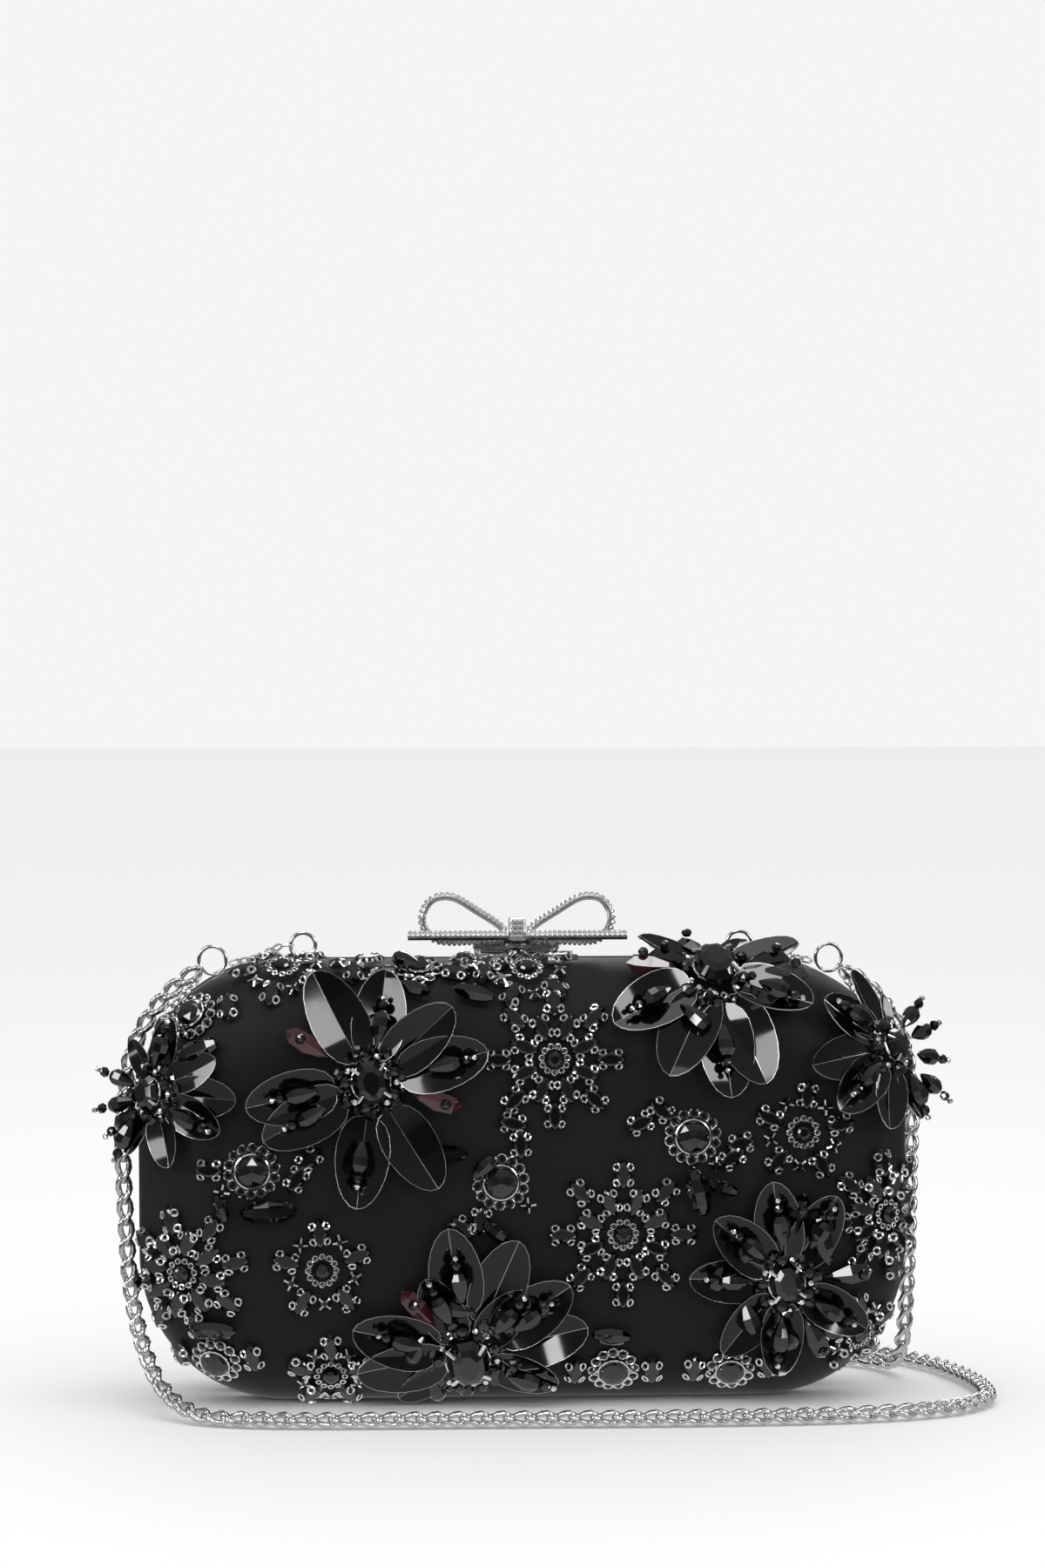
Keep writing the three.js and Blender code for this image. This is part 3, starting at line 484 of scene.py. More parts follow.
def add_wall(obj, thickness):
    wall = obj.modifiers.new("wall", "SOLIDIFY")
    wall.thickness = thickness
    wall.offset = -1
    wall.use_even_offset = True


for half, side, crown in (("front", -1, CROWN), ("back", 1, 0)):
    cover_skin = bowed_skin(0, side, crown, 0.45 * MM)
    cover = piece(f"satin_{half}", cover_skin, [satin], f"{half}_half", [f"{half}_cover"], True)
    add_wall(cover, 0.7 * MM)
    lining_skin = bowed_skin(3.25 * MM, side, crown, 0)
    lining = piece(
        f"taffeta_{half}", lining_skin, [lining_cloth], f"{half}_half", [f"{half}_lining"], True,
    )
    add_wall(lining, 0.5 * MM)


def block_between(low, high):
    bm = bmesh.new()
    bmesh.ops.create_cube(bm, size=1)
    bmesh.ops.scale(bm, vec=high - low, verts=bm.verts)
    bmesh.ops.translate(bm, vec=(low + high) / 2, verts=bm.verts)
    return bm


def foot_wedge(hinge_z):
    """Frees the frames' feet so that the halves can fold apart about the hinge."""
    bm = bmesh.new()
    lean = (hinge_z + 1 * MM) * tan(OPEN_ANGLE / 2 + radians(3))
    corners = [(0, hinge_z), (-lean, -1 * MM), (lean, -1 * MM)]
    face = bm.faces.new([bm.verts.new((-half_width, parting_y + y, z)) for y, z in corners])
    grown = bmesh.ops.extrude_face_region(bm, geom=[face])["geom"]
    moved = [item for item in grown if isinstance(item, bmesh.types.BMVert)]
    bmesh.ops.translate(bm, vec=(2 * half_width, 0, 0), verts=moved)
    bmesh.ops.recalc_face_normals(bm, faces=bm.faces[:])
    return bm


def carved(bm, tools):
    """The bmesh with the tools' solids cut away."""
    mesh = bpy.data.meshes.new("carved")
    bm.to_mesh(mesh)
    bm.free()
    target = bpy.data.objects.new("carved", mesh)
    bpy.context.scene.collection.objects.link(target)
    cutters = []
    for tool in tools:
        cutter = bpy.data.objects.new("cutter", bpy.data.meshes.new("cutter"))
        tool.to_mesh(cutter.data)
        tool.free()
        bpy.context.scene.collection.objects.link(cutter)
        cut = target.modifiers.new("cut", "BOOLEAN")
        cut.operation = "DIFFERENCE"
        cut.object = cutter
        cut.solver = "EXACT"
        cutters.append(cutter)
    bpy.context.view_layer.update()
    result = bpy.data.meshes.new_from_object(target.evaluated_get(bpy.context.evaluated_depsgraph_get()))
    for obj in (*cutters, target):
        bpy.data.objects.remove(obj)
    out = bmesh.new()
    out.from_mesh(result)
    bpy.data.meshes.remove(result)
    return out


hinge_boxes = [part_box(f"hinge_leaf_front_{name}") for name in ("left", "right")]
for half, side in (("front", -1), ("back", 1)):
    frame_low, frame_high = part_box(f"{half}_frame")
    depth = frame_high.y - frame_low.y
    near = (parting_y - frame_high.y) if side < 0 else (frame_low.y - parting_y)
    bm = rounded_panel(0)
    bm.faces.ensure_lookup_table()
    inner = bm.faces[0]
    bmesh.ops.inset_region(bm, faces=[inner], thickness=FRAME_WALL, use_boundary=True, use_even_offset=True)
    bmesh.ops.delete(bm, geom=[inner], context="FACES")
    grown = bmesh.ops.extrude_face_region(bm, geom=bm.faces[:])["geom"]
    bmesh.ops.translate(bm, vec=(0, 0, depth), verts=[g for g in grown if isinstance(g, bmesh.types.BMVert)])
    bmesh.ops.translate(bm, vec=(0, 0, near), verts=bm.verts)
    bmesh.ops.recalc_face_normals(bm, faces=bm.faces[:])
    rims = [edge for edge in bm.edges if len(edge.link_faces) == 2 and edge.calc_face_angle() > radians(60)]
    bmesh.ops.bevel(
        bm, geom=rims, offset=0.35 * MM, offset_type="OFFSET", segments=2, profile=0.5, affect="EDGES",
        material=-1,
    )
    bm.transform(to_half(side))
    bmesh.ops.recalc_face_normals(bm, faces=bm.faces[:])
    spare = Vector((0.3, 6, 0.3)) * MM
    tools = [foot_wedge(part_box("hinge_pin_left")[0].z + 0.7 * MM)]
    for low, high in hinge_boxes:
        lowest = Vector((low.x - spare.x, frame_low.y - spare.y, -1 * MM))
        tools.append(block_between(lowest, Vector((high.x + spare.x, frame_high.y + spare.y, high.z + spare.z))))
    if side < 0:
        for name in ("left", "right"):
            low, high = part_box(f"ring_lug_{name}")
            room = Vector((0.7, 6, 0.3)) * MM
            tools.append(block_between(Vector((low.x - room.x, frame_low.y - room.y, low.z - room.z)), high + room))
    bm = carved(bm, tools)
    piece(f"frame_{half}", bm, [silver], f"{half}_half", [f"{half}_frame"])


# ---- Bow ----
# Two ribbon loops, two straight tails and a knot in silver plate, fixed to the clasp's lever.
# Rhinestones are set in two rows along the ribbon's outer face, and a row of smaller ones along its front edge.

CLASP_X = (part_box("bow_knot")[0].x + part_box("bow_knot")[1].x) / 2
STONE_PITCH = 1.3 * MM
LOOP_DROP = ((0, 0.17), (0.36, 0.58), (0.66, 0.83), (0.89, 0.77), (1, 0.4), (0.86, 0.06), (0.4, 0.01), (0.02, 0.07))


def faceted_stone(radius, height, sides):
    """A small round stone: a cone frustum with its table upwards, base on the XY plane."""
    bm = bmesh.new()
    bmesh.ops.create_cone(
        bm, cap_ends=True, segments=sides, radius1=radius, radius2=radius * 0.5, depth=height,
        matrix=Matrix.Translation((0, 0, height / 2)),
    )
    return bm


rhinestone = template(faceted_stone(0.62 * MM, 0.5 * MM, 8), 1)


def ribbon_band(line, low_y, high_y, wall, closed):
    """A band of ribbon swept along a line in the XZ plane, its wall to the left of the line."""
    bm = bmesh.new()
    count = len(line)
    rings = []
    chamfer = 0.75 * MM
    for i, point in enumerate(line):
        before = line[(i - 1) % count] if closed or i else point
        after = line[(i + 1) % count] if closed or i + 1 < count else point
        along = (after - before).normalized()
        out = Vector((-along.z, 0, along.x)) * wall / 2
        corners = []
        for share, y in ((1, high_y - chamfer), (1, low_y + chamfer), (0.3, low_y), (-0.3, low_y),
                         (-1, low_y + chamfer), (-1, high_y - chamfer), (-0.3, high_y), (0.3, high_y)):
            corners.append(bm.verts.new(point + out * share + Y * (y - point.y)))
        rings.append(corners)
    for i in range(count if closed else count - 1):
        a, b = rings[i], rings[(i + 1) % count]
        for j in range(8):
            k = (j + 1) % 8
            bm.faces.new((a[j], a[k], b[k], b[j]))
    if not closed:
        bm.faces.new(rings[0])
        bm.faces.new(rings[-1])
    bmesh.ops.recalc_face_normals(bm, faces=bm.faces[:])
    return bm


def pave(bm, line, outward, wall, low_y, high_y, rows):
    """Rows of rhinestones on the band's outer face."""
    for point, direction in spaced(line, STONE_PITCH):
        out = outward(direction)
        for row in range(rows):
            y = low_y + (high_y - low_y) * (row + 0.5) / rows
            spot = Vector((point.x, y, point.z)) + out * wall / 2
            put(bm, rhinestone, along_line(spot, direction, out))
        slope = (out - Y).normalized()
        edge = Vector((point.x, low_y + 0.35 * MM, point.z)) + out * wall * 0.3
        put(bm, rhinestone, along_line(edge, direction, slope) @ Matrix.Scale(0.8, 4))


for side_name, sign in (("left", -1), ("right", 1)):
    low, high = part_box(f"bow_loop_{side_name}")
    inner_x = high.x if sign < 0 else low.x
    outer_x = low.x if sign < 0 else high.x
    wall = 1.6 * MM
    start_x = inner_x + sign * wall / 2
    reach = abs(outer_x - start_x) - wall / 2
    rise = (high.z - low.z - wall) / 0.84
    corners = [
        Vector((start_x + sign * a * reach, (low.y + high.y) / 2, low.z + wall / 2 + b * rise))
        for a, b in LOOP_DROP
    ]
    ring = curve_through([*corners[-2:], *corners, *corners[:3]], 6)[12:-12]
    ring = ring[:len(LOOP_DROP) * 6]
    band = ribbon_band(ring, low.y, high.y, wall, True)
    outward = (lambda d, s=sign: Vector((-d.z, 0, d.x)) * s)
    pave(band, [*ring, ring[0]], outward, wall, low.y, high.y, 2)
    piece(f"loop_{side_name}", band, [bow_silver, clear], "clasp", [f"bow_loop_{side_name}"])

    low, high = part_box(f"bow_tail_{side_name}")
    tall = high.z - low.z - 0.4 * MM
    middle_z = low.z + tall / 2
    ends = (low.x, high.x)
    bar = [Vector((ends[0] + (ends[1] - ends[0]) * i / 6, (low.y + high.y) / 2, middle_z)) for i in range(7)]
    band = ribbon_band(bar, low.y, high.y, tall, False)
    pave(band, bar, lambda d: Z, tall, low.y, high.y, 2)
    piece(f"tail_{side_name}", band, [bow_silver, clear], "clasp", [f"bow_tail_{side_name}"])

low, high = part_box("bow_knot")
knot = block_between(low + Vector((0, 1.1, 1.0)) * MM, high)
bmesh.ops.bevel(
    knot, geom=knot.edges[:], offset=0.9 * MM, offset_type="OFFSET", segments=3, profile=0.5,
    affect="EDGES", material=-1,
)
for row in range(4):
    for column in (-1, 0, 1):
        spot = Vector((CLASP_X + column * 1.25 * MM, low.y + 1.05 * MM, low.z + (2.5 + row * 1.3) * MM))
        put(knot, rhinestone, along_line(spot, X, -Y))
piece("knot", knot, [bow_silver, clear], "clasp", ["bow_knot"])


# ---- Stones and beads ----
# Jet glass stones in silver settings, tiny ring-set stones, faceted drops and beads, and black
# film paillettes folded along the midrib. Sizes are taken once here and copied to the motifs.

def outline_face(bm, points, height=0.0):
    return bm.faces.new([bm.verts.new((x, y, height)) for x, y in points])


def pointed_oval(length, width, steps):
    """Outline of a navette, long along Y and round-shouldered."""
    points = []
    for i in range(2 * steps):
        share = (i % steps) / steps
        y = cos(share * pi) * length / 2
        x = width / 2 * (1 - (2 * y / length) ** 2) ** 0.8
        points.append((x, y) if i < steps else (-x, -y))
    return points[::-1]


def oval(length, width, steps, turn=0.5):
    return [
        (width / 2 * cos((i + turn) * 2 * pi / steps), length / 2 * sin((i + turn) * 2 * pi / steps))
        for i in range(steps)
    ]


def flat_back(points, girdle, crown, table, finish=0):
    """A flat-backed stone: its outline raised to the girdle, then drawn in twice to the table."""
    bm = bmesh.new()
    face = outline_face(bm, points)
    grown = bmesh.ops.extrude_face_region(bm, geom=[face])["geom"]
    top = next(item for item in grown if isinstance(item, bmesh.types.BMFace))
    bmesh.ops.translate(bm, vec=(0, 0, girdle), verts=top.verts)
    for margin, rise in ((table * 0.45, crown * 0.62), (table * 0.55, crown * 0.38)):
        bmesh.ops.inset_region(bm, faces=[top], thickness=margin, use_boundary=True, use_even_offset=True)
        bmesh.ops.translate(bm, vec=(0, 0, rise), verts=top.verts)
    return template(bm, finish)


def setting(points, wall, height, finish=0):
    """The thin silver edge round a stone."""
    bm = bmesh.new()
    face = outline_face(bm, points)
    bmesh.ops.inset_region(bm, faces=[face], thickness=wall, use_boundary=True, use_even_offset=True)
    bmesh.ops.delete(bm, geom=[face], context="FACES")
    grown = bmesh.ops.extrude_face_region(bm, geom=bm.faces[:])["geom"]
    bmesh.ops.translate(bm, vec=(0, 0, height), verts=[g for g in grown if isinstance(g, bmesh.types.BMVert)])
    return template(bm, finish)


def drop(length, width, sides, rings, finish=0, tail=0.35):
    """A faceted drop bead along Y, its point at the origin."""
    bm = bmesh.new()
    bmesh.ops.create_uvsphere(bm, u_segments=sides, v_segments=rings, radius=1)
    bmesh.ops.rotate(bm, matrix=Matrix.Rotation(-pi / 2, 3, "X"), verts=bm.verts)
    for vert in bm.verts:
        share = (vert.co.y + 1) / 2
        pinch = tail + (1 - tail) * min(share * 1.5, 1)
        vert.co = Vector((vert.co.x * width / 2 * pinch, share * length, vert.co.z * width / 2 * pinch))
    return template(bm, finish)


def rondelle(radius, height, sides, finish=0):
    """A faceted bead, lying on the XY plane with a flat table."""
    bm = bmesh.new()
    bmesh.ops.create_uvsphere(bm, u_segments=sides, v_segments=4, radius=radius)
    bmesh.ops.scale(bm, vec=(1, 1, height / radius / 2), verts=bm.verts)
    bmesh.ops.translate(bm, vec=(0, 0, height / 2), verts=bm.verts)
    return template(bm, finish)


def paillette(length, width, fold, curl, wall):
    """A film leaf along Y from the origin, folded on its midrib, with a bright cut edge and a painted highlight
    along the midrib crease.
    """
    bm = bmesh.new()
    bmesh.ops.create_grid(bm, x_segments=4, y_segments=10, size=0.5)
    for vert in bm.verts:
        share = (1 - cos(pi * (vert.co.y + 0.5))) / 2
        swell = sqrt(max(1 - (2 * share ** 0.8 - 1) ** 2, 0.0004))
        x = vert.co.x * width * swell
        lift = fold * abs(vert.co.x) * 2 * swell + curl * (share - 0.3) ** 2
        vert.co = Vector((x, share * length, lift))
    bmesh.ops.remove_doubles(bm, verts=bm.verts[:], dist=0.05 * MM)
    ribs = [edge for edge in bm.edges if all(abs(vert.co.x) < 0.01 * MM for vert in edge.verts)]
    painted_highlight_crease = bmesh.ops.bevel(
        bm, geom=ribs, offset=0.07 * MM, offset_type="OFFSET", segments=1, profile=0.5, affect="EDGES", material=-1,
    )["faces"]
    rim = bmesh.ops.inset_region(bm, faces=bm.faces[:], thickness=0.11 * MM, use_boundary=True, use_even_offset=True)
    rim = {face for face in (*rim["faces"], *painted_highlight_crease) if face.is_valid}
    skin = set(bm.verts)
    bmesh.ops.solidify(bm, geom=bm.faces[:], thickness=wall)
    bmesh.ops.recalc_face_normals(bm, faces=bm.faces[:])
    # The rim and the cut edge take the second, metal finish; the midrib crease takes it too, as a painted highlight.
    for face in bm.faces:
        own = sum(vert in skin for vert in face.verts)
        face.material_index = 1 if face in rim or 0 < own < len(face.verts) else 0
    mesh = bpy.data.meshes.new("paillette")
    bm.to_mesh(mesh)
    bm.free()
    return mesh


NAVETTE = (8.0 * MM, 4.3 * MM)
navette = flat_back(pointed_oval(*NAVETTE, 6), 0.7 * MM, 0.9 * MM, 0.9 * MM)
navette_edge = setting(pointed_oval(NAVETTE[0] + 0.6 * MM, NAVETTE[1] + 0.6 * MM, 6), 0.35 * MM, 0.8 * MM)
claw_loop = template(wire_loop(0.92 * MM, 0.31 * MM, 10, 5))
tiny_loop = template(wire_loop(0.64 * MM, 0.24 * MM, 10, 5))
tiny_stone = template(faceted_stone(0.5 * MM, 0.5 * MM, 6))
cup_loop = template(wire_loop(1.2 * MM, 0.26 * MM, 12, 5))
cup_stone = template(faceted_stone(1.08 * MM, 0.75 * MM, 8))
star_stone = flat_back(oval(4.2 * MM, 4.2 * MM, 10), 0.8 * MM, 0.9 * MM, 1.0 * MM)
chaton = flat_back(oval(2.8 * MM, 2.8 * MM, 8), 0.7 * MM, 0.7 * MM, 0.6 * MM)
chaton_edge = setting(oval(3.3 * MM, 3.3 * MM, 12), 0.3 * MM, 0.7 * MM)
bead = rondelle(2.0 * MM, 3.0 * MM, 8)
small_bead = rondelle(1.45 * MM, 2.3 * MM, 7)
seed = rondelle(0.85 * MM, 1.5 * MM, 8)
drop_bead = drop(9.0 * MM, 6.0 * MM, 8, 6)
long_bead = drop(15.0 * MM, 6.6 * MM, 7, 6, 0, 1)
pendant = drop(13.0 * MM, 7.0 * MM, 6, 4)
oval_stone = flat_back(oval(12 * MM, 10 * MM, 8), 1.6 * MM, 2.4 * MM, 2.6 * MM)
leaf = paillette(24 * MM, 14 * MM, 2.2 * MM, 4 * MM, 0.32 * MM)

rose_bm = bmesh.new()
bmesh.ops.create_icosphere(rose_bm, subdivisions=2, radius=4.3 * MM)
bmesh.ops.bisect_plane(
    rose_bm, geom=rose_bm.verts[:] + rose_bm.edges[:] + rose_bm.faces[:], dist=0.001 * MM,
    plane_co=(0, 0, 0), plane_no=-Z, clear_outer=True,
)
bmesh.ops.holes_fill(rose_bm, edges=[edge for edge in rose_bm.edges if edge.is_boundary], sides=0)
bmesh.ops.scale(rose_bm, vec=(1, 1, 0.62), verts=rose_bm.verts)
rose_stone = template(rose_bm)
rose_edge = template(wire_loop(4.4 * MM, 0.32 * MM, 28, 6))

claw_bm = bmesh.new()
bmesh.ops.create_cone(claw_bm, cap_ends=True, segments=6, radius1=0.32 * MM, radius2=0.24 * MM, depth=1.5 * MM)
bmesh.ops.rotate(claw_bm, matrix=Matrix.Rotation(radians(62), 3, "X"), verts=claw_bm.verts)
claw = template(claw_bm)


# ---- Places on the front ----
# The motifs are sewn through the satin, so each part stands on the bowed surface. A part is
# placed by walking over that surface from the middle of its motif.

def edge_at(point):
    """Inset of a point from the outline, and the outline's outward direction there."""
    rise = point.z - body_low.z - half_height
    qx, qz = abs(point.x) - (half_width - CORNER_RADIUS), abs(rise) - (half_height - CORNER_RADIUS)
    reach = hypot(max(qx, 0), max(qz, 0))
    sx, sz = (1 if point.x >= 0 else -1), (1 if rise >= 0 else -1)
    if qx > 0 and qz > 0:
        out = Vector((sx * qx / reach, 0, sz * qz / reach))
    else:
        out = Vector((sx, 0, 0)) if qx > qz else Vector((0, 0, sz))
    return CORNER_RADIUS - reach - min(max(qx, qz), 0), out


def seat(point):
    """Drops a point onto the satin and gives its place and the surface's normal."""
    inset, out = edge_at(point)
    depth = parting_y - point.y
    if inset >= SHOULDER:
        share = min((inset - SHOULDER) / (half_height - SHOULDER), 1)
        return Vector((point.x, parting_y - RIM_DEPTH - BOW_DEPTH - CROWN * share, point.z)), -Y
    angle = max(atan2((depth - RIM_DEPTH) / BOW_DEPTH, (SHOULDER - inset) / SHOULDER), 0)
    seated = RIM_DEPTH + BOW_DEPTH * sin(angle) if angle > 0 else depth
    spot = point + out * (inset - SHOULDER * (1 - cos(angle)))
    spot.y = parting_y - seated
    return spot, (out * cos(angle) / SHOULDER - Y * sin(angle) / BOW_DEPTH).normalized()


def motif_middle(node):
    points = [vert.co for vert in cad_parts[node].data.vertices]
    return seat(sum(points, Vector()) / len(points))


def walk(middle, degrees, distance):
    """From a motif's middle over the satin. Degrees turn anticlockwise from its right-hand side."""
    spot, normal = middle
    across = Z.cross(normal).normalized()
    heading = across * cos(radians(degrees)) + normal.cross(across) * sin(radians(degrees))
    steps = max(int(distance / (1.5 * MM)), 1)
    for _ in range(steps):
        goal, next_normal = seat(spot + heading * distance / steps)
        heading = heading - next_normal * heading.dot(next_normal)
        heading.normalize()
        spot, normal = goal, next_normal
    return spot, normal, heading


def stand(spot, normal, heading, lift=0.0, turn=0.0, pitch=0.0, scale=1.0):
    """A place with Y along the heading and Z off the satin, turned, pitched up and scaled."""
    across = heading.cross(normal)
    place = Matrix((
        (across.x, heading.x, normal.x, spot.x + normal.x * lift),
        (across.y, heading.y, normal.y, spot.y + normal.y * lift),
        (across.z, heading.z, normal.z, spot.z + normal.z * lift),
        (0, 0, 0, 1),
    ))
    turned = Matrix.Rotation(radians(turn), 4, "Z") @ Matrix.Rotation(radians(pitch), 4, "X")
    return place @ turned @ Matrix.Scale(scale, 4)


def span(middle, degrees, start, tip, start_lift, tip_lift, roll=0.0):
    """A place at the start of a span walked out from a motif, with Y towards its tip, and its length."""
    base, normal, _ = walk(middle, degrees, start)
    end, end_normal, _ = walk(middle, degrees, tip)
    base = base + normal * start_lift
    along = end + end_normal * tip_lift - base
    up = (normal + end_normal).normalized()
    up = (up - along * up.dot(along) / along.length_squared).normalized()
    place = stand(base, up, along.normalized())
    return place @ Matrix.Rotation(radians(roll), 4, "Y"), along.length


def above_floor(spot, margin):
    return spot.z > body_low.z + margin


class Motif:
    """The pieces of one motif, gathered by finish until they are made objects."""

    def __init__(self, node):
        self.node = node
        self.middle = motif_middle(node)
        self.stones, self.settings, self.film = bmesh.new(), bmesh.new(), bmesh.new()

    def navette_at(self, degrees, distance, turn=0.0, lift=0.9 * MM, pitch=0.0, scale=1.0):
        spot, normal, heading = walk(self.middle, degrees, distance)
        if not above_floor(spot, 3 * MM):
            return
        place = stand(spot, normal, heading, lift, turn, pitch, scale)
        put(self.stones, navette, place)
        put(self.settings, navette_edge, place)
        for sx in (-1, 1):
            for sy in (-1, 1):
                corner = Matrix.Translation((sx * 1.85 * MM, sy * 2.05 * MM, 1.05 * MM))
                lean = Matrix.Rotation(sx * radians(38), 4, "Y") @ Matrix.Rotation(-sy * radians(16), 4, "X")
                put(self.settings, claw_loop, place @ corner @ lean)

    def ring_set(self, distance, count, loop, stone, start=0.0, lift=0.8 * MM, limits=(0, 360)):
        for i in range(count):
            degrees = start + i * 360 / count
            if not limits[0] <= degrees % 360 <= limits[1]:
                continue
            spot, normal, heading = walk(self.middle, degrees, distance)
            if above_floor(spot, 1.5 * MM):
                put(self.settings, loop, stand(spot, normal, heading, lift))
                put(self.stones, stone, stand(spot, normal, heading, lift - 0.1 * MM))

    def single(self, mesh, degrees, distance, lift=0.5 * MM, turn=0.0, pitch=0.0, scale=1.0, target=None):
        spot, normal, heading = walk(self.middle, degrees, distance)
        if above_floor(spot, 2 * MM):
            put(target or self.stones, mesh, stand(spot, normal, heading, lift, turn, pitch, scale))

    def chaton_at(self, degrees, distance, lift=0.7 * MM, scale=1.0):
        spot, normal, heading = walk(self.middle, degrees, distance)
        if not above_floor(spot, 2.5 * MM):
            return
        place = stand(spot, normal, heading, lift, 0, 0, scale)
        put(self.stones, chaton, place)
        put(self.settings, chaton_edge, place)
        for i in range(4):
            turn = Matrix.Rotation(radians(45 + 90 * i), 4, "Z")
            put(self.settings, claw, place @ turn @ Matrix.Translation((0, 1.25 * MM, 0.95 * MM)))

    def finish(self, stone_finish=None, slot="crystal"):
        made = []
        groups = (
            ("stones", self.stones, [stone_finish or jet, burgundy, smoky], slot),
            ("settings", self.settings, [setting_silver], "silver"),
            ("paillettes", self.film, [film, steel], "paillette"),
        )
        for kind, bm, finishes, slot_name in groups:
            if bm.faces:
                made.append(piece(f"{self.node}_{kind}", bm, finishes, "front_half", [self.node]))
                if kind == "paillettes":
                    made[-1].data.shade_smooth()
                    made[-1].data.set_sharp_from_angle(angle=radians(14))
            else:
                bm.free()
        return made


# ---- Stars ----
# Eight-rayed stars: a round stone in a ring of tiny ones, an inner wheel of navettes between the
# rays and an outer wheel on them. Five-rayed ones have round stones between the navettes.

def make_star(node, size=1.0, turn=0.0):
    motif = Motif(node)
    motif.single(star_stone, 0, 0, 1.2 * MM)
    motif.ring_set(3.3 * MM, 11, tiny_loop, tiny_stone, 8, 1.6 * MM)
    for i in range(8):
        wobble = 3 * noise.noise(Vector((i, len(node), size)))
        motif.navette_at(90 + turn + 22.5 + 45 * i + wobble, 8.9 * MM * size, 4 * wobble, 0.9 * MM, 6)
        motif.navette_at(90 + turn + 45 * i - wobble, 15.3 * MM * size, 4 * wobble, 0.9 * MM, 2)
    return motif.finish()


def make_starlet(node, size=1.0, turn=0.0):
    motif = Motif(node)
    motif.single(star_stone, 0, 0, 1.2 * MM)
    motif.ring_set(3.6 * MM, 12, tiny_loop, tiny_stone, 0, 1.5 * MM)
    for i in range(5):
        wobble = 3 * noise.noise(Vector((i, len(node), 2 + size)))
        motif.navette_at(90 + turn + 72 * i + wobble, 9.6 * MM * size, 4 * wobble)
        motif.chaton_at(90 + turn + 36 + 72 * i - wobble, 8.6 * MM * size)
    return motif.finish()


make_star("star_upper_centre", 0.95)
make_star("star_centre", 1.02)
make_star("star_left_edge", 0.9, 12)
make_star("star_right_edge", 0.9, 8)
make_starlet("starlet_left", 1.0, 4)
make_starlet("starlet_right", 1.0, -6)
make_starlet("starlet_top_left", 1.0, 20)
make_starlet("starlet_top_centre", 1.0, 10)
make_starlet("starlet_bottom_left", 0.85, 0)
make_starlet("starlet_right_corner", 0.85, 15)


# ---- Clusters ----
# A large rose-cut stone in a ring of small cup-set stones, with a navette, a four-claw stone and
# long faceted beads sewn beside it.

def make_cluster(node, size=1.0, sides=(), beads=()):
    motif = Motif(node)
    motif.single(rose_stone, 0, 0, 1.6 * MM, 0, 0, size)
    motif.single(rose_edge, 0, 0, 1.7 * MM, 0, 0, size, motif.settings)
    count = round(14 * size)
    motif.ring_set(6.0 * MM * size, count, cup_loop, cup_stone, 10, 1.0 * MM)
    for degrees, distance, turn in sides:
        motif.navette_at(degrees, distance * MM, turn)
    for degrees, distance, turn, scale in beads:
        spot, normal, heading = walk(motif.middle, degrees, distance * MM)
        if above_floor(spot, 4 * MM):
            place = stand(spot, normal, heading, 3.0 * MM, turn, 0, scale)
            put(motif.stones, long_bead, place @ Matrix.Translation((0, -7.5 * MM, 0)))
    return motif


cluster = make_cluster(
    "cluster_left", 1.0, ((178, 10.8, 0), (-10, 11.5, 70), (12, 15, 30)),
    ((-68, 11, 70, 1.0), (-130, 12, 60, 0.55)),
)
cluster.chaton_at(215, 9.3 * MM)
cluster.finish()
cluster = make_cluster(
    "cluster_centre", 1.0, ((62, 11, 30), (78, 15.5, 90), (-118, 11, 20), (-130, 15.5, 80)),
    ((152, 16, 30, 0.75), (-95, 13, 60, 0.6)),
)
cluster.chaton_at(-40, 9.3 * MM)
cluster.finish()
cluster = make_cluster(
    "cluster_right", 1.0, ((140, 10.8, 0), (165, 14, 40), (-28, 11.5, 60), (-8, 12.5, 20)),
    ((-85, 14, 10, 0.9), (-60, 15, 40, 0.6)),
)
cluster.chaton_at(-50, 9.3 * MM)
cluster.finish()
make_cluster("cluster_left_corner", 0.9, ((175, 10, 90), (5, 10, 90)), ((80, 10, 95, 0.8),)).finish()
make_cluster("cluster_bottom_centre", 0.9, ((178, 10, 90), (2, 10, 90)), ((95, 10.5, 80, 0.7),)).finish()
make_cluster("cluster_bottom_right", 0.85, ((175, 9.6, 90), (10, 9.6, 90)), ()).finish()
cluster = make_cluster(
    "cluster_top", 0.8,
    ((200, 9.5, 0), (165, 13, 30), (188, 17, 80), (-15, 9.5, 0), (15, 12, 40),
     (-8, 17, 90), (6, 21, 10), (-150, 12, 60)),
    ((-35, 17, 20, 0.75), (-100, 8.5, 80, 0.6)),
)
for degrees, distance in ((178, 21), (-2, 13.5), (-14, 22), (205, 14)):
    cluster.chaton_at(degrees, distance * MM, 0.9 * MM, 1.3)
cluster.finish()
make_cluster("cluster_shoulder", 0.9, ((200, 10, 90), (20, 10, 90)), ((-60, 10.5, 90, 0.8),)).finish()


# ---- Flowers ----
# Black film leaves fan out from a four-claw oval stone, each with a faceted drop and beads sewn
# along it, a collar of small beads and wire rings at the middle, and burgundy pendants.

